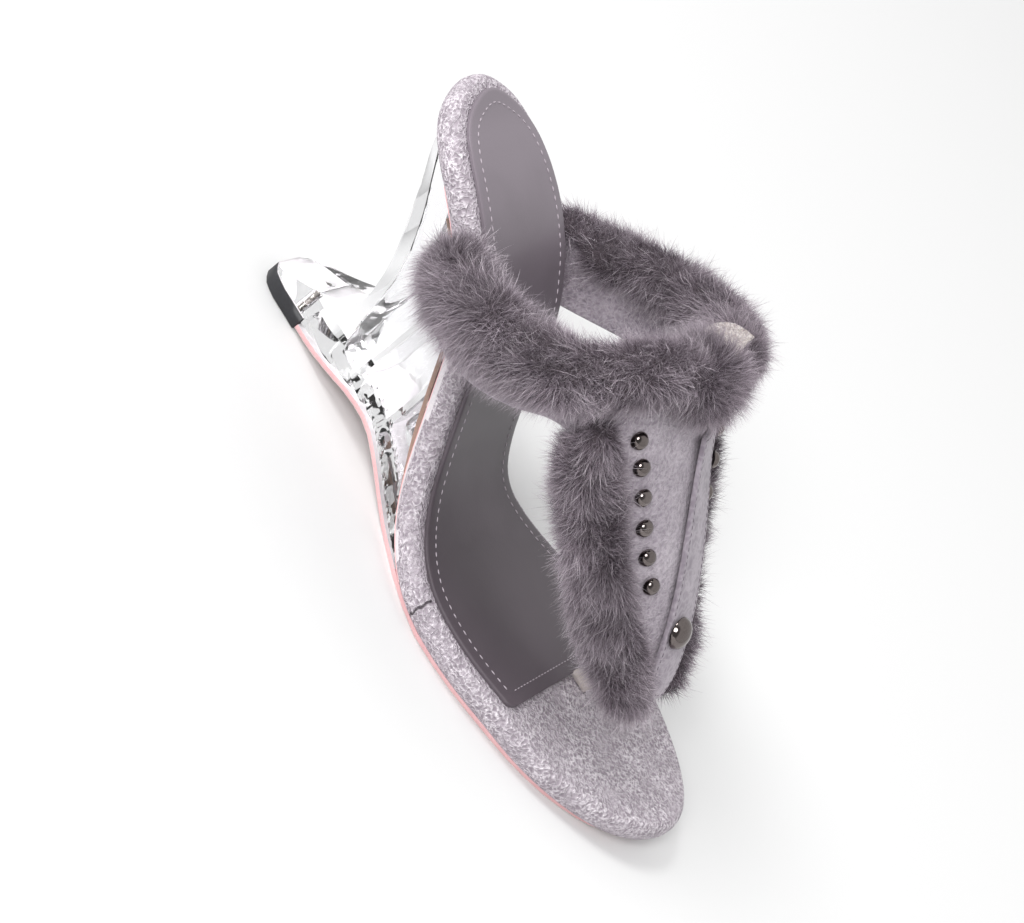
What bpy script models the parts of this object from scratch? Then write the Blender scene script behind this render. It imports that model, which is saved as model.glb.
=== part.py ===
"""High-heeled thong mule with a clear sculpted wedge heel, right shoe, standing on its sole.

Toe towards -Y, heel towards +Y, sole on Z = 0, little-toe side on -X.
Sizes are in metres; the tables hold shares of the named sizes.
"""

import math

import bmesh
import bpy
import numpy as np
from mathutils import Matrix, Vector

# Sizes of the whole shoe
LENGTH = 0.214
BALL_WIDTH = 0.083
HEEL_RISE = 0.086
UPPER_HEIGHT = 0.100
FIT_GAP = 0.0003

# Footbed, insole and sole
FOOTBED_THICKNESS = 0.0087
FOOTBED_MARGIN = 0.0042
INSOLE_THICKNESS = 0.0012
INSOLE_FRONT = 0.245
OUTSOLE_THICKNESS = 0.0020
OUTSOLE_INSET = 0.0018
FOREFOOT_TOP = 0.0110

# Clear heel
HEEL_WALL = 0.0034
TIP_HEIGHT = 0.0060
PIN_RADIUS = 0.0016
SCREW_RADIUS = 0.0019
SCREW_HEAD_RADIUS = 0.0036

# Upper, fur and trimmings
UPPER_THICKNESS = 0.0020
FUR_RADIUS = 0.0104
FUR_LOCK = 0.0011
TRIM_RADIUS = 0.0116
STRAP_WIDTH = 0.0168
STRAP_THICKNESS = 0.0015
KEEPER_WIDTH = 0.0160
KEEPER_THICKNESS = 0.0012
STUD_RADIUS = 0.0029
STUD_HEIGHT = 0.0023
STUD_INSET = 0.0264
STUD_SPREAD = -0.0048
STUDS_PER_WING = 6
LARGE_STUD_RADIUS = 0.0053
LARGE_STUD_HEIGHT = 0.0034
POST_WIDTH = 0.0076
POST_THICKNESS = 0.0024

# Insole outline: share of length from the toe, half width to the lateral and to the medial side
# as shares of the ball width
OUTLINE = np.array([
    (0.000, -0.072, 0.072),
    (0.005, 0.000, 0.155),
    (0.017, 0.078, 0.223),
    (0.038, 0.157, 0.295),
    (0.072, 0.241, 0.373),
    (0.124, 0.331, 0.443),
    (0.189, 0.407, 0.494),
    (0.250, 0.448, 0.506),
    (0.311, 0.482, 0.498),
    (0.367, 0.496, 0.464),
    (0.414, 0.492, 0.422),
    (0.456, 0.466, 0.374),
    (0.493, 0.419, 0.333),
    (0.526, 0.361, 0.301),
    (0.563, 0.296, 0.287),
    (0.601, 0.253, 0.292),
    (0.643, 0.245, 0.311),
    (0.689, 0.253, 0.328),
    (0.755, 0.265, 0.341),
    (0.820, 0.267, 0.345),
    (0.876, 0.253, 0.337),
    (0.918, 0.231, 0.319),
    (0.951, 0.190, 0.280),
    (0.974, 0.136, 0.219),
    (0.991, 0.060, 0.135),
    (1.000, -0.036, 0.036),
])

# Side profile of the top of the footbed: share of length, share of the heel rise
PROFILE = np.array([
    (0.000, 0.029),
    (0.058, 0.009),
    (0.124, 0.000),
    (0.260, 0.000),
    (0.385, 0.000),
    (0.456, 0.011),
    (0.493, 0.026),
    (0.526, 0.050),
    (0.563, 0.104),
    (0.601, 0.208),
    (0.643, 0.369),
    (0.688, 0.549),
    (0.755, 0.722),
    (0.820, 0.828),
    (0.876, 0.890),
    (0.918, 0.924),
    (0.962, 0.957),
    (1.000, 1.000),
])

# Underside of the shoe behind the ball: share of length, height as a share of the heel rise,
# half widths of the sole as shares of the ball width
UNDERSIDE = np.array([
    (0.500, 0.000, 0.422, 0.330),
    (0.526, 0.000, 0.386, 0.300),
    (0.563, 0.002, 0.331, 0.284),
    (0.611, 0.037, 0.289, 0.277),
    (0.658, 0.081, 0.259, 0.271),
    (0.704, 0.109, 0.229, 0.253),
    (0.751, 0.099, 0.205, 0.235),
    (0.807, 0.058, 0.175, 0.205),
    (0.853, 0.027, 0.145, 0.179),
    (0.890, 0.014, 0.124, 0.163),
    (0.920, 0.010, 0.122, 0.160),
    (0.958, 0.010, 0.116, 0.154),
    (0.977, 0.010, 0.093, 0.131),
    (0.988, 0.010, 0.054, 0.092),
])

# Back edge of the heel, from under the footbed round the notch to the tip:
# share of length, share of the heel rise
HEEL_BACK = np.array([
    (0.988, 0.980),
    (0.970, 0.937),
    (0.936, 0.849),
    (0.908, 0.730),
    (0.885, 0.616),
    (0.867, 0.506),
    (0.857, 0.401),
    (0.856, 0.347),
    (0.860, 0.305),
    (0.871, 0.267),
    (0.893, 0.220),
    (0.921, 0.170),
    (0.953, 0.121),
    (0.984, 0.074),
])

# Ribs across the hollow heel: share of length
HEEL_CELLS = np.array([
    (0.560, 0.682),
    (0.692, 0.768),
    (0.778, 0.956),
])

# Lowest point of the hollow: share of length, share of the heel rise
HEEL_HOLLOW = np.array([
    (0.540, 0.090),
    (0.611, 0.112),
    (0.658, 0.152),
    (0.704, 0.180),
    (0.751, 0.172),
    (0.800, 0.136),
    (0.820, 0.150),
    (0.836, 0.300),
    (0.846, 0.450),
    (0.858, 0.550),
    (0.875, 0.640),
    (0.895, 0.728),
    (0.918, 0.818),
    (0.940, 0.896),
    (0.962, 0.955),
])

# Top edge of the upper, from the lateral end of the strap round the front to the medial end:
# share of the way, x as a share of the ball width, y as a share of the length from the toe,
# z as a share of the upper height above the forefoot, then the same three for its lower edge
UPPER = np.array([
    (0.000, -0.348, 0.808, 0.675, -0.348, 0.783, 0.470),
    (0.060, -0.428, 0.759, 0.695, -0.440, 0.736, 0.475),
    (0.120, -0.512, 0.706, 0.735, -0.536, 0.682, 0.510),
    (0.180, -0.560, 0.643, 0.800, -0.590, 0.624, 0.570),
    (0.240, -0.554, 0.582, 0.880, -0.590, 0.568, 0.650),
    (0.295, -0.470, 0.551, 0.950, -0.530, 0.523, 0.715),
    (0.340, -0.349, 0.533, 0.995, -0.416, 0.465, 0.630),
    (0.380, -0.247, 0.519, 1.010, -0.332, 0.398, 0.530),
    (0.420, -0.142, 0.506, 1.016, -0.232, 0.314, 0.392),
    (0.460, -0.048, 0.500, 1.016, -0.118, 0.222, 0.272),
    (0.480, 0.000, 0.501, 1.014, -0.046, 0.182, 0.222),
    (0.500, 0.042, 0.505, 1.013, 0.062, 0.153, 0.192),
    (0.520, 0.087, 0.511, 1.013, 0.166, 0.182, 0.222),
    (0.540, 0.130, 0.518, 1.012, 0.222, 0.222, 0.272),
    (0.580, 0.217, 0.528, 1.004, 0.308, 0.314, 0.392),
    (0.620, 0.301, 0.542, 0.984, 0.390, 0.398, 0.520),
    (0.660, 0.373, 0.558, 0.950, 0.458, 0.470, 0.620),
    (0.705, 0.458, 0.596, 0.903, 0.536, 0.535, 0.675),
    (0.760, 0.524, 0.642, 0.846, 0.578, 0.591, 0.615),
    (0.820, 0.554, 0.699, 0.770, 0.602, 0.652, 0.535),
    (0.880, 0.530, 0.750, 0.698, 0.560, 0.708, 0.475),
    (0.940, 0.476, 0.785, 0.660, 0.494, 0.752, 0.445),
    (1.000, 0.427, 0.808, 0.655, 0.427, 0.783, 0.440),
])

# How far the middle of the upper stands out from the straight line between its two edges:
# share of the way round, share of the upper height, and how low on the way down the fullest place is
BULGE = np.array([
    (0.000, 0.000, 1.0),
    (0.240, 0.005, 1.0),
    (0.295, 0.030, 1.1),
    (0.340, 0.066, 1.2),
    (0.380, 0.074, 1.4),
    (0.440, 0.060, 1.7),
    (0.500, 0.036, 2.0),
    (0.560, 0.060, 1.7),
    (0.620, 0.074, 1.4),
    (0.660, 0.060, 1.2),
    (0.705, 0.028, 1.1),
    (0.760, 0.005, 1.0),
    (1.000, 0.000, 1.0),
])


def smooth(table, column, at):
    """Values of one table column along its first column, through a smooth curve."""
    x = table[:, 0]
    v = table[:, column]
    slope = np.gradient(v, x)
    at = np.clip(np.asarray(at, float), x[0], x[-1])
    i = np.clip(np.searchsorted(x, at) - 1, 0, len(x) - 2)
    h = x[i + 1] - x[i]
    t = (at - x[i]) / h
    a = (1 + 2 * t) * (1 - t) ** 2
    b = t * (1 - t) ** 2
    c = t * t * (3 - 2 * t)
    d = t * t * (t - 1)
    return a * v[i] + b * h * slope[i] + c * v[i + 1] + d * h * slope[i + 1]


def rounded(share):
    """Even angle round a half turn for a share of the length, so that both ends stay round."""
    return np.arccos(1 - 2 * np.clip(share, 0, 1)) / math.pi


OUTLINE_ROUND = np.column_stack([rounded(OUTLINE[:, 0]), OUTLINE[:, 1:]])


def half_widths(share):
    at = rounded(share)
    return smooth(OUTLINE_ROUND, 1, at) * BALL_WIDTH, smooth(OUTLINE_ROUND, 2, at) * BALL_WIDTH


def bed_height(share):
    return FOREFOOT_TOP + smooth(PROFILE, 1, share) * HEEL_RISE


def bed_normal(share):
    """Unit vector (y, z) pointing down out of the footbed, for shares of the length."""
    step = 0.004
    low = np.clip(share - step, 0, 1)
    high = np.clip(share + step, 0, 1)
    run = (high - low) * LENGTH
    slope = (bed_height(high) - bed_height(low)) / run
    size = np.hypot(1, slope)
    return slope / size, -1 / size


def bed_ring(count, out, depth, low=0.0, high=1.0):
    """Closed ring round the footbed: out = distance outside the insole line, depth below the top."""
    steps = (1 - np.cos(np.linspace(0, math.pi, count + 1))) / 2
    shares = high + (low - high) * steps
    lateral, medial = half_widths(shares)
    left = np.column_stack([-lateral, shares * LENGTH])
    right = np.column_stack([medial, shares * LENGTH])[::-1][1:-1]
    flat = np.vstack([left, right])
    ahead = np.roll(flat, -1, axis=0) - np.roll(flat, 1, axis=0)
    size = np.hypot(ahead[:, 0], ahead[:, 1])
    normal = np.column_stack([ahead[:, 1], -ahead[:, 0]]) / size[:, None]
    flat = flat + out * normal
    share = np.clip(flat[:, 1] / LENGTH, 0, 1)
    y, z = bed_normal(share)
    past = flat[:, 1] - share * LENGTH
    height = bed_height(share) - past * y / z
    return np.column_stack([flat[:, 0], flat[:, 1] + depth * y, height + depth * z])


def underside_of_bed(share, depth):
    """Height of the surface that lies depth below the footbed's top, at shares of the length."""
    samples = np.linspace(0, 1, 400)
    y, z = bed_normal(samples)
    return np.interp(share * LENGTH, samples * LENGTH + depth * y, bed_height(samples) + depth * z)


def place(name, shape, colour, metallic=0.0, roughness=0.6):
    """Object with its own material from a finished bmesh."""
    mesh = bpy.data.meshes.new(name)
    shape.to_mesh(mesh)
    shape.free()
    obj = bpy.data.objects.new(name, mesh)
    material = bpy.data.materials.new(name)
    material.use_nodes = True
    shader = material.node_tree.nodes["Principled BSDF"]
    shader.inputs["Base Color"].default_value = (*colour, 1)
    shader.inputs["Metallic"].default_value = metallic
    shader.inputs["Roughness"].default_value = roughness
    mesh.materials.append(material)
    shoe.objects.link(obj)
    return obj


def loft(name, rings, more_faces, colour, **looks):
    """Closed loft through rings of points that differ from one to the next."""
    shape = bmesh.new()
    corners = [shape.verts.new(point) for ring in rings for point in ring]
    for face in join_rings(rings) + more_faces:
        shape.faces.new([corners[k] for k in face])
    bmesh.ops.recalc_face_normals(shape, faces=shape.faces)
    return place(name, shape, colour, **looks)


def join_rings(rings):
    """Quads between rings of equal length, as index tuples."""
    count = len(rings[0])
    faces = []
    for r in range(len(rings) - 1):
        for k in range(count):
            n = (k + 1) % count
            faces.append((r * count + k, r * count + n, (r + 1) * count + n, (r + 1) * count + k))
    return faces


def ladder(start, count):
    """Faces that close a ring whose two halves run side by side between its two ends."""
    half = count // 2
    faces = [(start, start + 1, start + count - 1)]
    for k in range(1, half - 1):
        faces.append((start + k, start + k + 1, start + count - k - 1, start + count - k))
    faces.append((start + half - 1, start + half, start + half + 1))
    return faces


def plate(name, rings, colour, **looks):
    """Flat loft whose top and bottom rings have two pointed ends."""
    count = len(rings[0])
    faces = ladder(0, count) + ladder((len(rings) - 1) * count, count)
    return loft(name, rings, faces, colour, **looks)


def tube(name, rings, colour, **looks):
    """Loft along its length, closed by its first and last rings."""
    count = len(rings[0])
    faces = [tuple(range(count)), tuple(range((len(rings) - 1) * count, len(rings) * count))]
    return loft(name, rings, faces, colour, **looks)


def turned(name, profile, segments, colour, **looks):
    """Turned solid about Z from (radius, height) pairs that run down its outer side."""
    shape = bmesh.new()
    corners = [shape.verts.new((radius, 0, height)) for radius, height in profile]
    for first, second in zip(corners, corners[1:]):
        shape.edges.new((first, second))
    obj = place(name, shape, colour, **looks)
    screw = obj.modifiers.new("turn", "SCREW")
    screw.axis = "Z"
    screw.steps = segments
    screw.render_steps = segments
    screw.use_merge_vertices = True
    screw.merge_threshold = 0.00001
    screw.use_smooth_shade = False
    return obj


def box(name, low, high):
    shape = bmesh.new()
    bmesh.ops.create_cube(shape, size=1)
    bmesh.ops.translate(shape, vec=(0.5, 0.5, 0.5), verts=shape.verts)
    bmesh.ops.scale(shape, vec=Vector(high) - Vector(low), verts=shape.verts)
    bmesh.ops.translate(shape, vec=low, verts=shape.verts)
    return place(name, shape, (0.5, 0.5, 0.5))


def cut(target, cutter, operation="DIFFERENCE"):
    shoe.objects.unlink(cutter)
    tools.objects.link(cutter)
    cutter.hide_render = True
    cutter.display_type = "WIRE"
    modifier = target.modifiers.new(cutter.name, "BOOLEAN")
    modifier.operation = operation
    modifier.solver = "EXACT"
    modifier.object = cutter


for old in list(bpy.data.objects):
    bpy.data.objects.remove(old, do_unlink=True)

shoe = bpy.data.collections.new("high_heel_mule")
tools = bpy.data.collections.new("cutting_tools")
bpy.context.scene.collection.children.link(shoe)
bpy.context.scene.collection.children.link(tools)

# Footbed: one plate with a rounded edge, along the whole foot
BED_STEPS = 44
bed_rings = [
    bed_ring(BED_STEPS, -0.10 * FOOTBED_MARGIN, 0.0),
    bed_ring(BED_STEPS, 0.50 * FOOTBED_MARGIN, 0.0),
    bed_ring(BED_STEPS, 0.86 * FOOTBED_MARGIN, 0.12 * FOOTBED_THICKNESS),
    bed_ring(BED_STEPS, FOOTBED_MARGIN, 0.36 * FOOTBED_THICKNESS),
    bed_ring(BED_STEPS, 0.94 * FOOTBED_MARGIN, 0.70 * FOOTBED_THICKNESS),
    bed_ring(BED_STEPS, 0.55 * FOOTBED_MARGIN, FOOTBED_THICKNESS),
]
footbed = plate("footbed", bed_rings, (0.52, 0.49, 0.52))

# Insole: thin leather sheet on the footbed, cut straight across in front of the toe post
INSOLE_TOP = -(FIT_GAP + INSOLE_THICKNESS)
insole_rings = [
    bed_ring(BED_STEPS, -0.0002, -FIT_GAP),
    bed_ring(BED_STEPS, -0.0002, 0.7 * INSOLE_TOP),
    bed_ring(BED_STEPS, -0.0009, INSOLE_TOP),
]
insole = plate("insole", insole_rings, (0.20, 0.17, 0.19))


front = INSOLE_FRONT * LENGTH
POST_X = 0.062 * BALL_WIDTH
POST_BACK = front + 0.0012
cut(insole, box("insole_front_cut", (-BALL_WIDTH, -LENGTH, 0), (BALL_WIDTH, front, FOREFOOT_TOP * 3)))
notch_half = POST_THICKNESS / 2 + 0.0012
cut(insole, box("insole_post_cut", (POST_X - notch_half, front - 0.01, 0),
                (POST_X + notch_half, POST_BACK, FOREFOOT_TOP * 3)))

# Outsole: thin sheet under the forefoot that carries on under the heel as far as the tip
sole_shares = np.concatenate([
    0.500 - 0.488 * np.sin(np.linspace(0, math.pi / 2, 17))[::-1],
    np.linspace(0.515, 0.890, 16),
])[::-1]


def sole_row(share):
    lateral, medial = half_widths(share)
    behind = np.clip((share - 0.44) / 0.08, 0, 1)
    edge = 0.55 * FOOTBED_MARGIN + 0.0014 - OUTSOLE_INSET
    lateral = (lateral + edge) * (1 - behind) + behind * smooth(UNDERSIDE, 2, share) * BALL_WIDTH
    medial = (medial + edge) * (1 - behind) + behind * smooth(UNDERSIDE, 3, share) * BALL_WIDTH
    forward = bed_height(share) - FOREFOOT_TOP
    arch = smooth(UNDERSIDE, 1, share) * HEEL_RISE
    return lateral, medial, np.maximum(np.where(share < 0.4, forward, arch), 0)


def sole_ring(inset, lift):
    lateral, medial, height = sole_row(sole_shares)
    left = np.column_stack([-(lateral - inset), sole_shares * LENGTH, height + lift])
    right = np.column_stack([medial - inset, sole_shares * LENGTH, height + lift])[::-1]
    return np.vstack([left, right])


def closed_sheet(name, rings, colour, **looks):
    """Like a plate, but with straight ends instead of points."""
    count = len(rings[0])
    faces = []
    for start in (0, (len(rings) - 1) * count):
        for k in range(count // 2 - 1):
            end = start + count - k - 1
            faces.append((start + k, start + k + 1, end - 1, end))
    return loft(name, rings, faces, colour, **looks)


outsole = closed_sheet("outsole", [
    sole_ring(0.0, OUTSOLE_THICKNESS),
    sole_ring(0.0, 0.25 * OUTSOLE_THICKNESS),
    sole_ring(0.0005, 0.0),
], (0.80, 0.52, 0.50))

# Clear heel: sections across the foot, from the thin front end to the back
HEEL_FRONT = 0.512
HEEL_END = 0.988
heel_shares = np.concatenate([
    np.linspace(HEEL_FRONT, 0.90, 17),
    0.90 + (HEEL_END - 0.90) * np.sin(np.linspace(0, math.pi / 2, 7))[1:],
])


def heel_section(share, wall, floor, top):
    """Ring across the heel: a little concave at the sides, rounded along the bottom edges."""
    lateral, medial = half_widths(share)
    inset = 0.45 * FOOTBED_MARGIN
    under_lateral = smooth(UNDERSIDE, 2, share) * BALL_WIDTH
    under_medial = smooth(UNDERSIDE, 3, share) * BALL_WIDTH
    ceiling = underside_of_bed(share, FOOTBED_THICKNESS + 1.6 * FIT_GAP) + top
    base = smooth(UNDERSIDE, 1, share) * HEEL_RISE + OUTSOLE_THICKNESS + FIT_GAP
    base = base if floor is None else floor
    high = max(ceiling - base, 0.0002)
    soft = min(0.0016, 0.3 * high)
    rows = []
    for up in (1.0, 0.75, 0.5):
        bow = 0.0030 * math.sin(math.pi * up) * min(1, high / 0.05)
        rows.append((up * high, up, bow))
    rows.append((soft, soft / high, 0))
    rows.append((0.0, 0.0, soft))
    left = []
    right = []
    for rise, up, bow in rows:
        left.append((-(under_lateral + (lateral + inset - under_lateral) * up - bow - wall),
                     share * LENGTH, base + rise))
        right.append((under_medial + (medial + inset - under_medial) * up - bow - wall,
                      share * LENGTH, base + rise))
    return np.array(left + right[::-1])


clear_heel = tube("clear_heel", [heel_section(s, 0.0, None, 0.0) for s in heel_shares],
                  (0.80, 0.84, 0.86), roughness=0.05)


def side_prism(name, outline, half):
    """Prism across the foot from (y, z) pairs."""
    shape = bmesh.new()
    side = shape.faces.new([shape.verts.new((-half, y, z)) for y, z in outline])
    swept = bmesh.ops.extrude_face_region(shape, geom=[side])["geom"]
    across = [item for item in swept if isinstance(item, bmesh.types.BMVert)]
    bmesh.ops.translate(shape, vec=(2 * half, 0, 0), verts=across)
    bmesh.ops.recalc_face_normals(shape, faces=shape.faces)
    return place(name, shape, (0.5, 0.5, 0.5))


TIP_TOP = TIP_HEIGHT + FIT_GAP
back_edge = [(y * LENGTH, z * HEEL_RISE) for y, z in HEEL_BACK[1:-1]]
beyond = 1.2 * LENGTH
seat_back = underside_of_bed(HEEL_END, FOOTBED_THICKNESS + FIT_GAP)
notch = [(HEEL_BACK[0, 0] * LENGTH + 0.0005, seat_back + 0.001)] + back_edge
notch += [(HEEL_BACK[-1, 0] * LENGTH + 0.001, TIP_TOP), (beyond, TIP_TOP), (beyond, seat_back + 0.001)]
cut(clear_heel, side_prism("notch_cut", notch, BALL_WIDTH))

TIP_FRONT = 0.892
tip_room = box("tip_room", (-BALL_WIDTH, TIP_FRONT * LENGTH - FIT_GAP, -0.01), (BALL_WIDTH, beyond, TIP_TOP))
cut(clear_heel, tip_room)

for number, (first, last) in enumerate(HEEL_CELLS):
    steps = np.linspace(first, last, max(4, int((last - first) / 0.017)))
    rings = []
    for share in steps:
        floor = smooth(HEEL_HOLLOW, 1, share) * HEEL_RISE + 0.001
        rings.append(heel_section(share, HEEL_WALL, floor, 0.004))
    cut(clear_heel, tube("heel_cell_%d" % (number + 1), rings, (0.5, 0.5, 0.5)))

# Screw boss in the front cell, and the bores for the screw and the tip pin
SCREW_Y = 0.655 * LENGTH
SCREW_X = 0.01 * BALL_WIDTH
BOSS_TOP = 0.27 * HEEL_RISE
boss_foot = 0.085 * HEEL_RISE + OUTSOLE_THICKNESS + 0.0030
boss = turned("screw_boss", [(0, BOSS_TOP), (0.0046, BOSS_TOP), (0.0052, boss_foot), (0, boss_foot)], 16,
              (0.5, 0.5, 0.5))
boss.location = (SCREW_X, SCREW_Y, 0)
cut(clear_heel, boss, "UNION")
screw_foot = boss_foot + 0.003
screw_bore = turned("screw_bore", [
    (0, BOSS_TOP + 0.01),
    (SCREW_RADIUS + FIT_GAP, BOSS_TOP + 0.01),
    (SCREW_RADIUS + FIT_GAP, screw_foot - FIT_GAP),
    (0, screw_foot - FIT_GAP),
], 12, (0.5, 0.5, 0.5))
screw_bore.location = boss.location
cut(clear_heel, screw_bore)
heel_screw = turned("heel_screw", [
    (0, BOSS_TOP + 0.0022),
    (0.6 * SCREW_HEAD_RADIUS, BOSS_TOP + 0.0022),
    (SCREW_HEAD_RADIUS, BOSS_TOP + 0.0012),
    (SCREW_HEAD_RADIUS, BOSS_TOP + FIT_GAP),
    (SCREW_RADIUS, BOSS_TOP + FIT_GAP),
    (SCREW_RADIUS, screw_foot),
    (0, screw_foot),
], 12, (0.55, 0.53, 0.50), metallic=1.0, roughness=0.3)
heel_screw.location = boss.location

PIN_Y = 0.914 * LENGTH
PIN_X = 0.018 * BALL_WIDTH
PIN_TOP = 0.145 * HEEL_RISE
pin_bore = turned("pin_bore", [
    (0, PIN_TOP + FIT_GAP),
    (PIN_RADIUS + FIT_GAP, PIN_TOP + FIT_GAP),
    (PIN_RADIUS + FIT_GAP, 0.0),
    (0, 0.0),
], 12, (0.5, 0.5, 0.5))
pin_bore.location = (PIN_X, PIN_Y, 0)
cut(clear_heel, pin_bore)

# Heel tip with its steel pin
tip_shares = np.concatenate([[TIP_FRONT], TIP_FRONT + (HEEL_END - TIP_FRONT) * np.sin(
    np.linspace(0, math.pi / 2, 9))[1:]])[::-1]


def tip_ring(inset, height):
    lateral = smooth(UNDERSIDE, 2, tip_shares) * BALL_WIDTH - inset
    medial = smooth(UNDERSIDE, 3, tip_shares) * BALL_WIDTH - inset
    left = np.column_stack([-lateral, tip_shares * LENGTH, np.full(len(tip_shares), height)])
    right = np.column_stack([medial, tip_shares * LENGTH, np.full(len(tip_shares), height)])[::-1]
    return np.vstack([left, right])


heel_tip = closed_sheet("heel_tip", [
    tip_ring(0.0, TIP_HEIGHT),
    tip_ring(0.0002, 0.0008),
    tip_ring(0.0008, 0.0),
], (0.02, 0.02, 0.02))
heel_pin = turned("heel_pin", [
    (0, PIN_TOP),
    (0.6 * PIN_RADIUS, PIN_TOP),
    (PIN_RADIUS, PIN_TOP - 0.0006),
    (PIN_RADIUS, TIP_HEIGHT + FIT_GAP),
    (0, TIP_HEIGHT + FIT_GAP),
], 12, (0.60, 0.58, 0.55), metallic=1.0, roughness=0.25)
heel_pin.location = (PIN_X, PIN_Y, 0)


# The upper as one surface: u runs round the collar, v from the top edge to the lower edge
def upper_point(u, v):
    u = np.asarray(u, float)
    v = np.asarray(v, float)
    scale = (BALL_WIDTH, LENGTH, UPPER_HEIGHT)
    lift = (0, 0, FOREFOOT_TOP)
    top = np.stack([smooth(UPPER, 1 + k, u) * scale[k] + lift[k] for k in range(3)], -1)
    low = np.stack([smooth(UPPER, 4 + k, u) * scale[k] + lift[k] for k in range(3)], -1)
    point = top + (low - top) * v[..., None]
    centre = np.array([0.045 * BALL_WIDTH, 0.62 * LENGTH, 0.25 * UPPER_HEIGHT])
    away = point - centre
    away[..., 1] *= 0.8
    away /= np.linalg.norm(away, axis=-1)[..., None]
    out = smooth(BULGE, 1, u) * UPPER_HEIGHT * np.sin(math.pi * v ** smooth(BULGE, 2, u))
    return point + away * out[..., None]


def upper_frame(u, v):
    """Point, outward normal and unit vector down the surface."""
    step = 0.004
    point = upper_point(u, v)
    round_way = upper_point(np.clip(u + step, 0, 1), v) - upper_point(np.clip(u - step, 0, 1), v)
    down = upper_point(u, np.clip(v + step, 0, 1)) - upper_point(u, np.clip(v - step, 0, 1))
    normal = np.cross(down, round_way)
    normal /= np.linalg.norm(normal, axis=-1)[..., None]
    down = down / np.linalg.norm(down, axis=-1)[..., None]
    return point, normal, down


def leather(name, points, out, thickness, colour, **looks):
    """Open grid of points, thickened with Solidify towards the out direction (negative = away from it)."""
    rows, columns = points.shape[:2]
    shape = bmesh.new()
    bmesh.ops.create_grid(shape, x_segments=columns - 1, y_segments=rows - 1, size=1)
    shape.verts.ensure_lookup_table()
    for vert, spot in zip(shape.verts, points.reshape(-1, 3)):
        vert.co = spot
    out = Vector(out)
    shape.normal_update()
    shape.verts.ensure_lookup_table()
    if shape.verts[(rows // 2) * columns + columns // 2].normal.dot(out) < 0:
        bmesh.ops.reverse_faces(shape, faces=shape.faces)
    obj = place(name, shape, colour, **looks)
    solidify = obj.modifiers.new("thickness", "SOLIDIFY")
    solidify.thickness = abs(thickness)
    solidify.offset = math.copysign(1, thickness)
    solidify.use_even_offset = False
    return obj


upper_u = np.concatenate([np.linspace(0, 0.30, 11), np.linspace(0.30, 0.70, 41)[1:-1], np.linspace(0.70, 1, 11)])
upper_v = np.linspace(0, 1, 9)
grid_u, grid_v = np.meshgrid(upper_u, upper_v)
sheet_point, sheet_normal, _ = upper_frame(grid_u, grid_v)
front = sheet_normal[len(upper_v) // 2, len(upper_u) // 2]
upper = leather("upper", sheet_point, front, -UPPER_THICKNESS, (0.40, 0.36, 0.39))
sheet_length = np.linalg.norm(np.diff(sheet_point, axis=0), axis=2).sum(axis=0)


def beside_sheet(column, side, out, past):
    """Point at a distance out from the upper and past its top edge (side 1) or lower edge (side -1)."""
    v = past / sheet_length[column]
    v = -v if side == 1 else 1 + v
    inside = min(max(v, 0.0), 1.0)
    row = min(int(inside * (len(upper_v) - 1)), len(upper_v) - 2)
    t = inside * (len(upper_v) - 1) - row
    point = sheet_point[row, column] * (1 - t) + sheet_point[row + 1, column] * t
    normal = sheet_normal[row, column] * (1 - t) + sheet_normal[row + 1, column] * t
    if past > 0:
        ends = (0, 1) if side == 1 else (-1, -2)
        away = sheet_point[ends[0], column] - sheet_point[ends[1], column]
        point = point + past * away / np.linalg.norm(away)
    return point + out * normal


# Fur: a roll over the top edge, and one along the lower edge of each wing
rng = np.random.RandomState(7)
SLACK = FIT_GAP + 0.0003


def locks(distance, angle):
    """Clumps of hair in the surface of the fur, from about -1 to 1."""
    lean = 0.5 * np.sin(2 * angle + 0.3)
    first = np.sin(distance / 0.0062 * 2 * math.pi / 2 + 3 * np.sin(2 * angle) + lean)
    second = np.sin(3 * angle + distance / 0.009 + 1.3 * np.sin(distance / 0.017))
    return 0.6 * first * second + 0.4 * np.sin(5 * angle - distance / 0.005)


def fur_point(radius, angle, centre, lift=0.0):
    inside = max(0.0, (math.degrees(angle) - 95) / 100)
    r = radius * (1 - 0.30 * inside) + lift
    out = centre[0] * radius + r * math.cos(angle)
    past = centre[1] * radius + r * math.sin(angle)
    if past < 0.001 and angle < 1.6:
        out = max(out, SLACK + 0.0004)
    if past < 0.001 and angle > 1.6:
        out = min(out, -UPPER_THICKNESS - SLACK - 0.0004)
    return out, past


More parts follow.
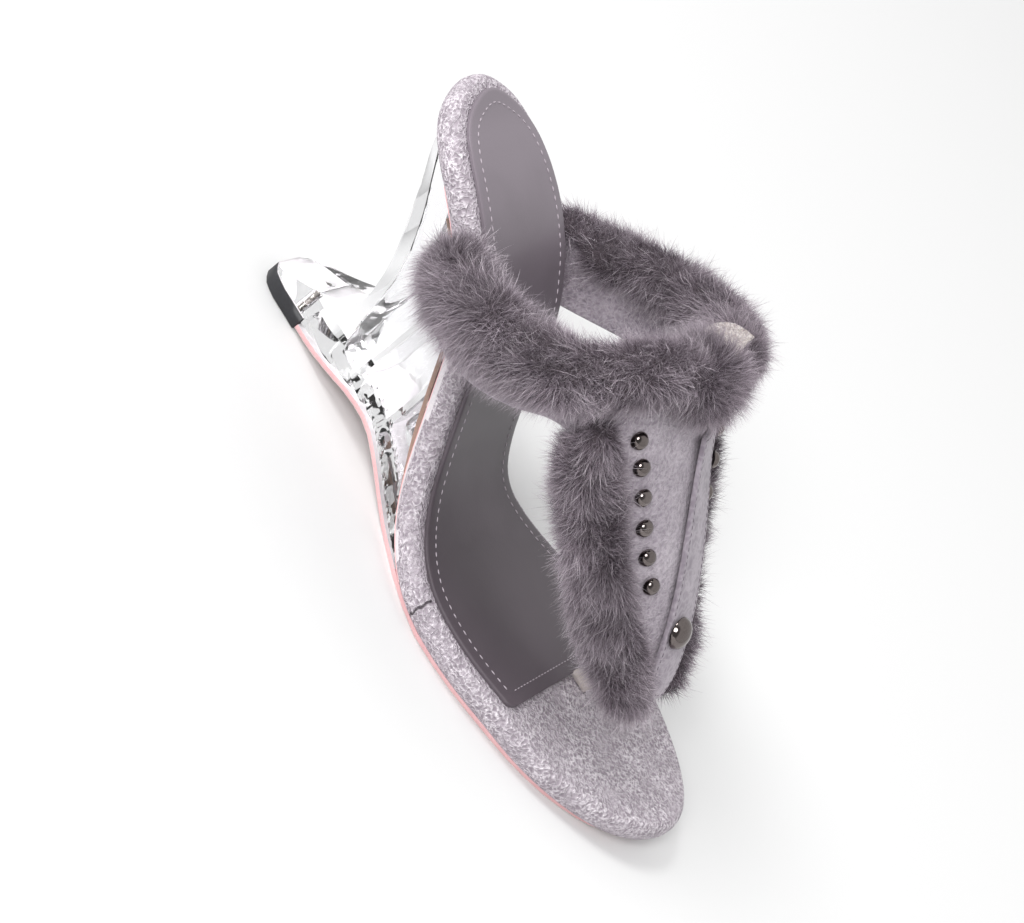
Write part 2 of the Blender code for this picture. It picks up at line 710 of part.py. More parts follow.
def fur_roll(name, columns, radii, ends, side, centres, count):
    """Fur wrapped over an edge of the upper; ends = first and last angle for each column."""
    along = 0.0
    rings = []
    for k, column in enumerate(columns):
        edge = 0 if side == 1 else -1
        if k:
            along += np.linalg.norm(sheet_point[edge, column] - sheet_point[edge, columns[k - 1]])
        ring = []
        for angle in np.linspace(*np.radians(ends[k]), count):
            lift = FUR_LOCK * locks(along, angle) + 0.35 * FUR_LOCK * rng.uniform(-1, 1)
            out, past = fur_point(radii[k], angle, centres[k], lift)
            ring.append(beside_sheet(column, side, out, past))
        low = fur_point(radii[k], math.radians(ends[k][0]), centres[k])[1]
        deep = fur_point(radii[k], math.radians(ends[k][1]), centres[k])[1]
        inner = -UPPER_THICKNESS - SLACK
        ring.append(beside_sheet(column, side, inner, min(deep + 0.0010, -0.0004)))
        ring.append(beside_sheet(column, side, inner, SLACK))
        ring.append(beside_sheet(column, side, SLACK, SLACK))
        ring.append(beside_sheet(column, side, SLACK, 0.5 * (low + 0.0010)))
        ring.append(beside_sheet(column, side, SLACK, low + 0.0010))
        rings.append(np.array(ring))
    return tube(name, rings, (0.30, 0.26, 0.29), roughness=0.95)


COLLAR_CENTRE = (0.17, -0.52)
columns = list(range(len(upper_u)))
from_end = np.minimum(upper_u, 1 - upper_u)
radii = FUR_RADIUS * (0.70 + 0.30 * np.clip(from_end / 0.05, 0, 1))
radii -= 0.12 * FUR_RADIUS * np.exp(-((upper_u - 0.47) / 0.10) ** 2)
radii -= 0.22 * FUR_RADIUS * np.exp(-((upper_u - 0.5) / 0.030) ** 4)
last_angle = 132 + 71 * np.clip((from_end - 0.06) / 0.08, 0, 1)
ends = [(-96, angle) for angle in last_angle]
fur_collar = fur_roll("fur_collar", columns, radii, ends, 1, [COLLAR_CENTRE] * len(columns), 17)

trim_columns = [k for k in columns if 0.305 < upper_u[k] < 0.485]
trim_radii = TRIM_RADIUS * np.linspace(0.92, 0.94, len(trim_columns))
trim_radii[[0, -1]] *= 0.62
trim_radii[[1, -2]] *= 0.86
trim_ends = [(-98, 212)] * len(trim_columns)
trim_centres = [(0.15, past) for past in np.linspace(-0.24, 0.24, len(trim_columns))]
fur_roll("fur_trim_lateral", trim_columns, trim_radii, trim_ends, -1, trim_centres, 15)
mirrored = [len(upper_u) - 1 - k for k in trim_columns]
fur_roll("fur_trim_medial", mirrored, trim_radii, trim_ends, -1, trim_centres, 15)


def column_length(u):
    v = np.linspace(0, 1, 60)
    line = upper_point(np.full(60, u), v)
    return v, np.concatenate([[0], np.cumsum(np.linalg.norm(np.diff(line, axis=0), axis=1))])


# Strap down the middle of the upper, flat across. Its turn is the angle that it faces towards the
# lateral side, at the collar and at its foot.
STRAP_TURN = (-0.31, 0.30)
STRAP_LIFT = FIT_GAP + 0.00025
STRAP_TOP = 0.225
STRAP_FOOT = 0.985
strap_rows = 15
strap_v = np.linspace(STRAP_TOP, STRAP_FOOT, strap_rows)
strap_points = []
strap_out = []
for k, v in enumerate(strap_v):
    share = k / (strap_rows - 1)
    u = 0.5 + 0.010 * (1 - share)
    centre, _, down = (part[0] for part in upper_frame(np.array([u]), np.array([v])))
    turn = STRAP_TURN[0] + (STRAP_TURN[1] - STRAP_TURN[0]) * share
    ahead = np.cross(down, (1, 0, 0))
    ahead /= np.linalg.norm(ahead)
    across = math.cos(turn) * np.array([1, 0, 0]) + math.sin(turn) * ahead
    out = math.cos(turn) * ahead - math.sin(turn) * np.array([1, 0, 0])
    from_foot = (STRAP_FOOT - v) * column_length(u)[1][-1]
    half = STRAP_WIDTH / 2 * (1 - 0.06 * share)
    half *= math.sqrt(max(0.06, 1 - max(0, 1 - from_foot / (1.2 * half)) ** 2))
    beneath = upper_point(u + np.linspace(-0.09, 0.09, 61), np.full(61, v)) - centre
    reach = np.linspace(-half, half, 7)
    drop = np.interp(reach, beneath @ across, beneath @ out)
    drop = max(drop) - 0.35 * (max(drop) - drop)
    strap_points.append(centre + reach[:, None] * across + (drop[:, None] + STRAP_LIFT) * out)
    strap_out.append(out)
strap_points = np.array(strap_points)
strap_out = np.array(strap_out)
centre_strap = leather("centre_strap", strap_points, strap_out[strap_rows // 2], STRAP_THICKNESS,
                       (0.42, 0.38, 0.41))


def stud(name, point, normal, lift, radius, height, segments):
    profile = [(0, height), (0.58 * radius, 0.84 * height), (0.95 * radius, 0.34 * height), (radius, 0), (0, 0)]
    obj = turned(name, profile, segments, (0.30, 0.29, 0.29), metallic=1.0, roughness=0.2)
    turn = Vector((0, 0, 1)).rotation_difference(Vector(normal))
    obj.matrix_world = Matrix.Translation(Vector(point + lift * normal)) @ turn.to_matrix().to_4x4()
    return obj


stud_columns = np.linspace(0.366, 0.4490, STUDS_PER_WING)
for number, u in enumerate(stud_columns):
    v, gone = column_length(u)
    inset = STUD_INSET + STUD_SPREAD * number / (STUDS_PER_WING - 1)
    at = float(np.interp(gone[-1] - inset, gone, v))
    spots, normals, _ = upper_frame(np.array([u, 1 - u]), np.array([at, at]))
    stud("stud_lateral_%d" % (number + 1), spots[0], normals[0], 0.0004, STUD_RADIUS, STUD_HEIGHT, 10)
    stud("stud_medial_%d" % (number + 1), spots[1], normals[1], 0.0004, STUD_RADIUS, STUD_HEIGHT, 10)
row = round(0.70 * strap_rows)
stud("stud_large", strap_points[row, 2], strap_out[row], STRAP_THICKNESS + 2 * FIT_GAP, LARGE_STUD_RADIUS,
     LARGE_STUD_HEIGHT, 16)

# Keeper tab over the fur at the middle of the collar
middle = len(upper_u) // 2
half_columns = 1
while np.linalg.norm(sheet_point[0, middle + half_columns] - sheet_point[0, middle]) < 0.46 * KEEPER_WIDTH:
    half_columns += 1
keeper_rings = []
for column in range(middle - half_columns, middle + half_columns + 1):
    inner = []
    outer = []
    for angle in np.radians(np.linspace(48, 204, 10)):
        for ring, lift in ((inner, 0.0), (outer, KEEPER_THICKNESS)):
            out, past = fur_point(radii[column], angle, COLLAR_CENTRE, 1.4 * FUR_LOCK + lift)
            ring.append(beside_sheet(column, 1, out, past))
    keeper_rings.append(np.array(outer + inner[::-1]))
keeper_tab = tube("keeper_tab", keeper_rings, (0.72, 0.69, 0.68))

# Toe post between the footbed and the foot of the upper
post_foot = FOREFOOT_TOP + FIT_GAP
hang = upper_point(np.array([0.5]), np.array([0.97]))[0]
post_rows = []
for up in np.linspace(0, 1, 5):
    z = post_foot + up * (hang[2] + 0.004 - post_foot)
    lean = (hang[1] + UPPER_THICKNESS + FIT_GAP + 0.0018) - (POST_BACK - 0.0006 - POST_WIDTH)
    y = POST_BACK - 0.0006 + lean * up ** 1.5
    shrink = POST_WIDTH * (1 - 0.25 * up)
    half = POST_THICKNESS / 2
    post_rows.append(np.array([
        (POST_X - half, y, z),
        (POST_X - half, y - shrink, z),
        (POST_X + half, y - shrink, z),
        (POST_X + half, y, z),
    ]))
toe_post = tube("toe_post", post_rows, (0.70, 0.65, 0.60))

# The origin goes to the middle of the shoe's own box, on the floor
bpy.context.view_layer.update()
graph = bpy.context.evaluated_depsgraph_get()
corners = []
for obj in shoe.objects:
    solid = obj.evaluated_get(graph)
    data = np.empty(len(solid.data.vertices) * 3)
    solid.data.vertices.foreach_get("co", data)
    world = np.array(obj.matrix_world)
    corners.append(data.reshape(-1, 3) @ world[:3, :3].T + world[:3, 3])
corners = np.vstack(corners)
low = corners.min(axis=0)
high = corners.max(axis=0)
shift = Vector((-(low[0] + high[0]) / 2, -(low[1] + high[1]) / 2, -low[2]))
for obj in list(shoe.objects) + list(tools.objects):
    obj.location += shift
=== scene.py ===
"""Right high-heeled mule: fabric footbed, suede vamp edged with fur, studs and a clear wedge heel."""

import math

import bmesh
import bpy
import numpy as np
from mathutils import Matrix, Vector


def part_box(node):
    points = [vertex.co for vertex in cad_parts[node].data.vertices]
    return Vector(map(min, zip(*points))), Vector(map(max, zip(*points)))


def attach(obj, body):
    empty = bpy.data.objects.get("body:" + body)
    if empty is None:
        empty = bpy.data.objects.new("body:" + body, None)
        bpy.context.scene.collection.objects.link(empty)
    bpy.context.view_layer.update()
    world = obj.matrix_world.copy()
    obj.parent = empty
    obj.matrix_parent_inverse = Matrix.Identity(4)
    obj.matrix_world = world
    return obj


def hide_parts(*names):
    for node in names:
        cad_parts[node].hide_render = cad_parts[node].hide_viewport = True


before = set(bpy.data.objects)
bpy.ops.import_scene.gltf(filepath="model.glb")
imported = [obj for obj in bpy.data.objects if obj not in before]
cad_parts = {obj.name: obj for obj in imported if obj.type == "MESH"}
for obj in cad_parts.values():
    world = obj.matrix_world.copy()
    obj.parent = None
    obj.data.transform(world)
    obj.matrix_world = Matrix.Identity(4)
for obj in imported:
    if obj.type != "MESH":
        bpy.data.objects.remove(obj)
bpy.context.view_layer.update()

# Footbed: board and foam about 9 mm thick, wrapped in pale lilac cloth with a raised silvery
# crackle that turns round the edge. Sizes are those of the CAD part, in metres; its tables give
# shares of the length and of the ball width.
LENGTH = 0.214
BALL_WIDTH = 0.083
HEEL_RISE = 0.086
FOREFOOT_TOP = 0.0110
FOOTBED_THICKNESS = 0.0087
FOOTBED_MARGIN = 0.0042
MIDDLE = np.array([0.0007301, -0.1078504, 0.0])

# share of length from the toe, half width to the lateral side, half width to the medial side
OUTLINE = np.array([
    (0.000, -0.072, 0.072),
    (0.005, 0.000, 0.155),
    (0.017, 0.078, 0.223),
    (0.038, 0.157, 0.295),
    (0.072, 0.241, 0.373),
    (0.124, 0.331, 0.443),
    (0.189, 0.407, 0.494),
    (0.250, 0.448, 0.506),
    (0.311, 0.482, 0.498),
    (0.367, 0.496, 0.464),
    (0.414, 0.492, 0.422),
    (0.456, 0.466, 0.374),
    (0.493, 0.419, 0.333),
    (0.526, 0.361, 0.301),
    (0.563, 0.296, 0.287),
    (0.601, 0.253, 0.292),
    (0.643, 0.245, 0.311),
    (0.689, 0.253, 0.328),
    (0.755, 0.265, 0.341),
    (0.820, 0.267, 0.345),
    (0.876, 0.253, 0.337),
    (0.918, 0.231, 0.319),
    (0.951, 0.190, 0.280),
    (0.974, 0.136, 0.219),
    (0.991, 0.060, 0.135),
    (1.000, -0.036, 0.036),
])

# share of length, height of the footbed's top as a share of the heel rise
PROFILE = np.array([
    (0.000, 0.029),
    (0.058, 0.009),
    (0.124, 0.000),
    (0.260, 0.000),
    (0.385, 0.000),
    (0.456, 0.011),
    (0.493, 0.026),
    (0.526, 0.050),
    (0.563, 0.104),
    (0.601, 0.208),
    (0.643, 0.369),
    (0.688, 0.549),
    (0.755, 0.722),
    (0.820, 0.828),
    (0.876, 0.890),
    (0.918, 0.924),
    (0.962, 0.957),
    (1.000, 1.000),
])


def smooth(table, column, at):
    """Values of one table column along its first column, through a smooth curve."""
    x = table[:, 0]
    v = table[:, column]
    slope = np.gradient(v, x)
    at = np.clip(np.asarray(at, float), x[0], x[-1])
    i = np.clip(np.searchsorted(x, at) - 1, 0, len(x) - 2)
    h = x[i + 1] - x[i]
    t = (at - x[i]) / h
    start = (1 + 2 * t) * (1 - t) ** 2 * v[i] + t * (1 - t) ** 2 * h * slope[i]
    return start + t * t * (3 - 2 * t) * v[i + 1] + t * t * (t - 1) * h * slope[i + 1]


def half_widths(share):
    turn = np.column_stack([np.arccos(1 - 2 * OUTLINE[:, 0]) / math.pi, OUTLINE[:, 1:]])
    at = np.arccos(1 - 2 * np.clip(share, 0, 1)) / math.pi
    return smooth(turn, 1, at) * BALL_WIDTH, smooth(turn, 2, at) * BALL_WIDTH


def bed_height(share):
    return FOREFOOT_TOP + smooth(PROFILE, 1, share) * HEEL_RISE


def bed_down(share):
    low = np.clip(share - 0.004, 0, 1)
    high = np.clip(share + 0.004, 0, 1)
    slope = (bed_height(high) - bed_height(low)) / ((high - low) * LENGTH)
    size = np.hypot(1, slope)
    return slope / size, -1 / size


def bed_ring(count, out, depth):
    """Ring round the footbed, out from the insole's line and down from its top."""
    shares = 1 - (1 - np.cos(np.linspace(0, math.pi, count + 1))) / 2
    lateral, medial = half_widths(shares)
    left = np.column_stack([-lateral, shares * LENGTH])
    right = np.column_stack([medial, shares * LENGTH])[::-1][1:-1]
    flat = np.vstack([left, right])
    ahead = np.roll(flat, -1, axis=0) - np.roll(flat, 1, axis=0)
    ahead /= np.hypot(ahead[:, 0], ahead[:, 1])[:, None]
    flat = flat + out * np.column_stack([ahead[:, 1], -ahead[:, 0]])
    share = np.clip(flat[:, 1] / LENGTH, 0, 1)
    y, z = bed_down(share)
    height = bed_height(share) - (flat[:, 1] - share * LENGTH) * y / z
    return np.column_stack([flat[:, 0], flat[:, 1] + depth * y, height + depth * z]) + MIDDLE


def hoops(shape, rings):
    """Circles moved onto rings of points and bridged one to the next; returns the edges of each."""
    loops = []
    for ring in rings:
        verts = bmesh.ops.create_circle(shape, segments=len(ring), radius=1)["verts"]
        for vert, spot in zip(verts, ring):
            vert.co = spot
        loops.append(list({edge for vert in verts for edge in vert.link_edges}))
    for one, two in zip(loops, loops[1:]):
        bmesh.ops.bridge_loops(shape, edges=one + two)
    return loops


def sheet_between(rings, across=10):
    """Closed flat solid: hoops round its edge, and a grid over its top and its bottom."""
    shape = bmesh.new()
    hoops(shape, rings)
    for ring in (rings[0], rings[-1]):
        half = len(ring) // 2
        left = ring[:half + 1]
        right = np.vstack([ring[:1], ring[:half - 1:-1]])
        rows = bmesh.ops.create_grid(shape, x_segments=across, y_segments=half, size=1)["verts"]
        for number, vert in enumerate(rows):
            row, place = divmod(number, across + 1)
            vert.co = left[row] + (right[row] - left[row]) * place / across
    bmesh.ops.remove_doubles(shape, verts=shape.verts, dist=0.00002)
    bmesh.ops.recalc_face_normals(shape, faces=shape.faces)
    return shape


def hexa(code):
    """Linear colour from an sRGB hex value."""
    parts = [int(code[k:k + 2], 16) / 255 for k in (1, 3, 5)]
    return tuple(c / 12.92 if c < 0.04045 else ((c + 0.055) / 1.055) ** 2.4 for c in parts) + (1.0,)


def add(tree, kind, sockets, stops=(), **settings):
    """Adds a node with its settings, its links or values and a ramp's stops; returns its outputs."""
    made = tree.nodes.new(kind)
    for name, value in settings.items():
        setattr(made, name, value)
    for name, value in sockets.items():
        if isinstance(value, bpy.types.NodeSocket):
            tree.links.new(value, made.inputs[name])
        else:
            made.inputs[name].default_value = value
    for number, (place, shade) in enumerate(stops):
        band = made.color_ramp.elements
        stop = band[number] if number < 2 else band.new(place)
        stop.position = place
        stop.color = hexa(shade) if isinstance(shade, str) else (shade, shade, shade, 1)
    return made.outputs


def material(name, **settings):
    """New material with a Principled shader; settings are its sockets by name."""
    made = bpy.data.materials.new(name)
    made.use_nodes = True
    tree = made.node_tree
    shader = tree.nodes["Principled BSDF"]
    for socket, value in settings.items():
        shader.inputs[socket.replace("_", " ")].default_value = value
    where = add(tree, "ShaderNodeTexCoord", {})["Object"]
    return made, tree, shader, where


def finish_piece(name, shape, finish, slot, *nodes, smooth_angle=40.0):
    """Object from a bmesh, with its finish, riding on the shoe and standing for its CAD nodes."""
    mesh = bpy.data.meshes.new(name)
    shape.to_mesh(mesh)
    shape.free()
    mesh.shade_smooth()
    mesh.set_sharp_from_angle(angle=math.radians(smooth_angle))
    mesh.materials.append(finish)
    piece = bpy.data.objects.new(name, mesh)
    bpy.context.scene.collection.objects.link(piece)
    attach(piece, "root")
    if nodes:
        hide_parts(*nodes)
    return piece


# a ridged noise whose fine winding ridges, from about 0 to 1.5, look like crushed film
CRUSHED = {"Detail": 1.3, "Roughness": 0.5, "Distortion": 0.5, "Offset": 0.85, "Gain": 1.2}
CRACKLE_BEND = 0.0013
# the wrap's joint lies 14.5 mm ahead of the middle, on what is past 40.5 mm to the lateral side
SEAM_AHEAD_MM = 14.5
SEAM_LATERAL = -0.0405


def crackle_finish(name, valley, ground, crest, seam):
    """Coated cloth: a crushed silvery film on a soft ground, with bright ridges about 0.8 mm apart."""
    made, tree, shader, where = material(name, IOR=1.5)
    ridge = add(tree, "ShaderNodeTexNoise", {"Vector": where, "Scale": 1 / CRACKLE_BEND, **CRUSHED},
                noise_type="RIDGED_MULTIFRACTAL")["Fac"]
    # patches about 9 mm across, where the film has rubbed thin
    patch = add(tree, "ShaderNodeTexNoise", {"Vector": where, "Scale": 110.0, "Detail": 4.0})["Fac"]
    worn = add(tree, "ShaderNodeValToRGB", {"Fac": patch}, stops=((0.35, 0.45), (0.6, 1.0)))["Color"]
    tone = add(tree, "ShaderNodeValToRGB", {"Fac": ridge},
               stops=((0.05, valley), (0.48, ground), (0.92, crest)))["Color"]
    plain = add(tree, "ShaderNodeValToRGB", {"Fac": patch}, stops=((0.3, ground), (0.7, valley)))["Color"]
    colour = add(tree, "ShaderNodeMix", {0: worn, 6: plain, 7: tone}, data_type="RGBA")[2]
    height = add(tree, "ShaderNodeMath", {0: patch, 1: 2.2, 2: ridge}, operation="MULTIPLY_ADD")[0]
    if seam:
        # the wrap's butt joint: a dark cut across the edge, wavering every 2 mm or so
        at = add(tree, "ShaderNodeSeparateXYZ", {"Vector": where})
        waver = add(tree, "ShaderNodeTexNoise", {"Vector": where, "Scale": 420.0, "Detail": 2.0})["Fac"]
        off = add(tree, "ShaderNodeMath", {0: at["Y"], 1: 1000.0, 2: SEAM_AHEAD_MM},
                  operation="MULTIPLY_ADD")[0]
        off = add(tree, "ShaderNodeMath", {0: waver, 1: 2.2, 2: off}, operation="MULTIPLY_ADD")[0]
        off = add(tree, "ShaderNodeMath", {0: off}, operation="ABSOLUTE")[0]
        cut = add(tree, "ShaderNodeValToRGB", {"Fac": off},
                  stops=((0.0, 1.0), (0.22, 0.85), (0.50, 0.0)))["Color"]
        outer = add(tree, "ShaderNodeMath", {0: at["X"], 1: SEAM_LATERAL}, operation="LESS_THAN")[0]
        cut = add(tree, "ShaderNodeMath", {0: cut, 1: outer}, operation="MULTIPLY")[0]
        colour = add(tree, "ShaderNodeMix", {0: cut, 6: colour, 7: hexa("#4c434a")}, data_type="RGBA")[2]
        height = add(tree, "ShaderNodeMath", {0: cut, 1: -2.0, 2: height}, operation="MULTIPLY_ADD")[0]
    shine = add(tree, "ShaderNodeValToRGB", {"Fac": ridge}, stops=((0.5, 0.0), (0.9, 0.28)))["Color"]
    dull = add(tree, "ShaderNodeValToRGB", {"Fac": ridge}, stops=((0.3, 0.75), (0.9, 0.36)))["Color"]
    bump = add(tree, "ShaderNodeBump", {"Height": height, "Strength": 1.0, "Distance": 0.0005})["Normal"]
    for socket, value in (("Base Color", colour), ("Metallic", shine), ("Roughness", dull), ("Normal", bump)):
        tree.links.new(value, shader.inputs[socket])
    return made


def grained_finish(name, dark, light, grain, depth, dull, **settings):
    """Plain pressed, spun or moulded surface: two near shades, an uneven shine and a fine relief.

    grain is the grain's size in metres, no finer than the 0.3 mm that shows in a picture.
    """
    made, tree, shader, where = material(name, **settings)
    fine = add(tree, "ShaderNodeTexNoise", {"Vector": where, "Scale": 1 / grain, "Detail": 3.0})["Fac"]
    # clouds about 14 mm across, from handling
    cloud = add(tree, "ShaderNodeTexNoise", {"Vector": where, "Scale": 70.0, "Detail": 4.0})["Fac"]
    lie = add(tree, "ShaderNodeMath", {0: fine, 1: 0.5}, operation="MULTIPLY")[0]
    lie = add(tree, "ShaderNodeMath", {0: cloud, 1: 0.5, 2: lie}, operation="MULTIPLY_ADD")[0]
    colour = add(tree, "ShaderNodeValToRGB", {"Fac": lie}, stops=((0.36, dark), (0.64, light)))["Color"]
    rough = add(tree, "ShaderNodeValToRGB", {"Fac": cloud},
                stops=((0.3, 0.82 * dull), (0.7, 1.18 * dull)))["Color"]
    bump = add(tree, "ShaderNodeBump", {"Height": fine, "Strength": 0.5, "Distance": depth})["Normal"]
    for socket, value in (("Base Color", colour), ("Roughness", rough), ("Normal", bump)):
        tree.links.new(value, shader.inputs[socket])
    return made


crackle_cloth = crackle_finish("crackle_coated_cloth", "#8b818a", "#b4aab3", "#efe8ee", True)

BED_STEPS = 150
edge = [
    (-0.10, 0.0),
    (0.20, 0.004),
    (0.50, 0.02),
    (0.70, 0.07),
    (0.86, 0.16),
    (0.96, 0.27),
    (1.00, 0.40),
    (0.99, 0.55),
    (0.94, 0.72),
    (0.80, 0.88),
    (0.55, 1.0),
]
bed = [bed_ring(BED_STEPS, out * FOOTBED_MARGIN, down * FOOTBED_THICKNESS) for out, down in edge]
cover = finish_piece("footbed_cover", sheet_between(bed), crackle_cloth, "crackle_fabric", "footbed")
# the board that closes the underside over the clear heel: dull off-white paper over fibre
seat_board = grained_finish("off_white_fibre_board", "#d3cdd1", "#e6e0e4", 0.0009, 0.00008, 0.7)
cover.data.materials.append(seat_board)
for face in cover.data.polygons:
    if face.normal.z < -0.2 and face.center.y > 0.0 and face.area > 0.000004:
        face.material_index = 1

# Insole: thin smooth leather glued on the footbed, sewn round 4 mm in from its edge with a paler
# thread. It is cut straight across in front of the toe post, and sewn along there too.
INSOLE_FRONT = 0.245 * LENGTH + MIDDLE[1]
INSOLE_TOP = 0.0015
# smooth dyed leather: a low even shine, with painted shade that darkens it by the fur collar in the hollow of
# the arch, and painted light towards the heel
insole_leather, tree, shader, where = material(
    "smooth_dyed_leather_painted_shade", Roughness=0.40, IOR=1.5, Coat_Weight=0.08)
along = add(tree, "ShaderNodeSeparateXYZ", {"Vector": where})["Y"]
# clouds in the dye about 25 mm across, and pores 0.7 mm apart
tone = add(tree, "ShaderNodeTexNoise", {"Vector": where, "Scale": 40.0, "Detail": 4.0})["Fac"]
# painted shade and light: the tone runs along the length, darkest in the arch by the fur and palest at the
# heel
lie = add(tree, "ShaderNodeMath", {0: along, 1: 5.0, 2: 0.375}, operation="MULTIPLY_ADD")[0]
lie = add(tree, "ShaderNodeMath", {0: tone, 1: 0.25, 2: lie}, operation="MULTIPLY_ADD")[0]
colour = add(tree, "ShaderNodeValToRGB", {"Fac": lie},
             stops=((0.08, "#645b62"), (0.46, "#4f474d"), (0.92, "#7d747c")))["Color"]
pores = add(tree, "ShaderNodeTexVoronoi", {"Vector": where, "Scale": 1400.0})["Distance"]
height = add(tree, "ShaderNodeMath", {0: pores, 1: 0.3, 2: tone}, operation="MULTIPLY_ADD")[0]
bump = add(tree, "ShaderNodeBump", {"Height": height, "Strength": 0.15, "Distance": 0.0003})["Normal"]
tree.links.new(colour, shader.inputs["Base Color"])
tree.links.new(bump, shader.inputs["Normal"])

# out from the footbed's line, down from its top
insole_rings = [
    (-0.0002, -0.0002),
    (-0.0002, -0.7 * INSOLE_TOP),
    (-0.0005, -0.93 * INSOLE_TOP),
    (-0.0011, -INSOLE_TOP),
]
shape = sheet_between([bed_ring(BED_STEPS, out, depth) for out, depth in insole_rings], across=14)
whole = list(shape.verts) + list(shape.edges) + list(shape.faces)
bmesh.ops.bisect_plane(shape, geom=whole, plane_co=(0, INSOLE_FRONT, 0), plane_no=(0, -1, 0),
                       clear_outer=True)
bmesh.ops.holes_fill(shape, edges=[line for line in shape.edges if line.is_boundary])
# the two front corners are rounded by five cuts each
CORNER = 0.0050
lateral, medial = half_widths((INSOLE_FRONT - MIDDLE[1] + CORNER) / LENGTH)
for side, width in ((-1, lateral), (1, medial)):
    for angle in np.radians([15, 30, 45, 60, 75]):
        out = Vector((side * math.cos(angle), -math.sin(angle), 0))
        middle = Vector((MIDDLE[0] + side * (width - 0.0002 - CORNER), INSOLE_FRONT + CORNER, 0))
        whole = list(shape.verts) + list(shape.edges) + list(shape.faces)
        bmesh.ops.bisect_plane(shape, geom=whole, plane_co=middle + CORNER * out, plane_no=out,
                               clear_outer=True)
        bmesh.ops.holes_fill(shape, edges=[line for line in shape.edges if line.is_boundary])
finish_piece("insole_cover", shape, insole_leather, "insole_leather", "insole")

# waxed polyester thread: dull, paler than what it sews
thread = grained_finish("waxed_thread", "#a89ea6", "#c0b6be", 0.0003, 0.00005, 0.6)


def stitches(name, path, normals, finish, slot, length, pitch, radius):
    """One mesh of short round stitches laid along a path of points."""
    steps = np.linalg.norm(np.diff(path, axis=0), axis=1)
    along = np.concatenate([[0], np.cumsum(steps)])
    count = int(along[-1] / pitch)
    shape = bmesh.new()
    for k in range(count):
        at = (k + 0.5) * along[-1] / count
        spot, before, after, up = (
            Vector([np.interp(at + step, along, values[:, c]) for c in range(3)])
            for values, step in ((path, 0), (path, -0.001), (path, 0.001), (normals, 0))
        )
        ahead = (after - before).normalized()
        side = ahead.cross(up.normalized()).normalized()
        turn = Matrix((side, ahead, side.cross(ahead))).transposed().to_4x4()
        size = Matrix.Diagonal((radius, length / 2, radius * 0.8, 1))
        spin = Matrix.Translation(spot) @ turn @ size
        bmesh.ops.create_uvsphere(shape, u_segments=8, v_segments=5, radius=1, matrix=spin)
    return finish_piece(name, shape, finish, slot, smooth_angle=180.0)


STITCH_IN = 0.0043
path = bed_ring(300, -STITCH_IN, -INSOLE_TOP - 0.00005)
normals = bed_ring(300, -STITCH_IN, -INSOLE_TOP - 0.001) - path
back = np.flatnonzero(path[:, 1] > INSOLE_FRONT + STITCH_IN)
start = int(np.flatnonzero(np.diff(back) > 1)[0]) + 1
order = np.concatenate([back[start:], back[:start]])
stitches("insole_stitches", path[order], normals[order], thread, "insole_leather", 0.0018, 0.0029, 0.00024)
ends = path[order[[0, -1]]]
ends[:, 1] = INSOLE_FRONT + STITCH_IN
front_line = ends[0] + (ends[1] - ends[0]) * np.linspace(0.04, 0.96, 20)[:, None]
upward = np.tile([0.0, 0.0, 1.0], (20, 1))
stitches("insole_front_stitches", front_line, upward, thread, "insole_leather", 0.0011, 0.0019, 0.00022)

# Outsole: thin matt rubber the colour of pale salmon, cemented under the forefoot and on under the
# clear heel as far as the tip. Its edge shows as a fine line. The same colour edges the lining
# that closes the footbed's underside along the wedge, round a strip of plain tan board.
pink_rubber = grained_finish("moulded_sole_rubber", "#dfadb0", "#ecbfc0", 0.0006, 0.00005, 0.5)


def cad_copy(node):
    """The CAD node's mesh, with its loose triangles joined up."""
    shape = bmesh.new()
    shape.from_mesh(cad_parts[node].data)
    bmesh.ops.remove_doubles(shape, verts=shape.verts, dist=0.000001)
    return shape


# set cement: a milky film over what is glued under the clear heel
cement = grained_finish("set_clear_cement", "#cbc6c9", "#e0dcdf", 0.0025, 0.00010, 0.4)


def cement_on_top(piece):
    """Cement on the faces that look up at the heel, behind the footbed's bend."""
    piece.data.materials.append(cement)
    for face in piece.data.polygons:
        if face.normal.z > 0.6 and face.center.y > -0.004:
            face.material_index = 1


sole = finish_piece("outsole_rubber", cad_copy("outsole"), pink_rubber, "pink_rubber", "outsole")
cement_on_top(sole)
# the tread is the same rubber, roughened and paler
tread = grained_finish("roughened_sole_rubber", "#dccbca", "#f1e4e3", 0.0005, 0.00020, 0.82)
sole.data.materials.append(tread)
for face in sole.data.polygons:
    if face.normal.z < -0.6:
        face.material_index = 2


def strip_under_bed(outer, inner, depth, thick, low, high):
    """Flat band under the footbed, between two insets, along a part of the length on both sides."""
    shape = bmesh.new()
    for side in (1, -1):
        rings = [bed_ring(BED_STEPS, out, down) for out, down in (
            (outer, depth), (outer, depth + thick), (inner, depth + thick), (inner, depth))]
        half = BED_STEPS
        picked = [k for k in range(1, half) if low < (rings[0][k, 1] - MIDDLE[1]) / LENGTH < high]
        if side < 0:
            picked = [2 * half - k for k in picked]
        bars = [[ring[k] for ring in rings] for k in picked]
        loops = hoops(shape, bars)
        bmesh.ops.contextual_create(shape, geom=loops[0])
        bmesh.ops.contextual_create(shape, geom=loops[-1])
    bmesh.ops.recalc_face_normals(shape, faces=shape.faces)
    return shape


finish_piece("lining_edge", strip_under_bed(0.0024, 0.0010, FOOTBED_THICKNESS - 0.0006, 0.0008, 0.47, 0.90),
             pink_rubber, "pink_rubber")
# bare fibre board: dull and warm, seen only as a line
tan_board = grained_finish("tan_fibre_board", "#8e6d5e", "#aa8877", 0.0005, 0.00008, 0.7)
finish_piece("board_edge", strip_under_bed(-0.0019, -0.0023, FOOTBED_THICKNESS, 0.0026, 0.545, 0.86),
             tan_board, "beige_leather")

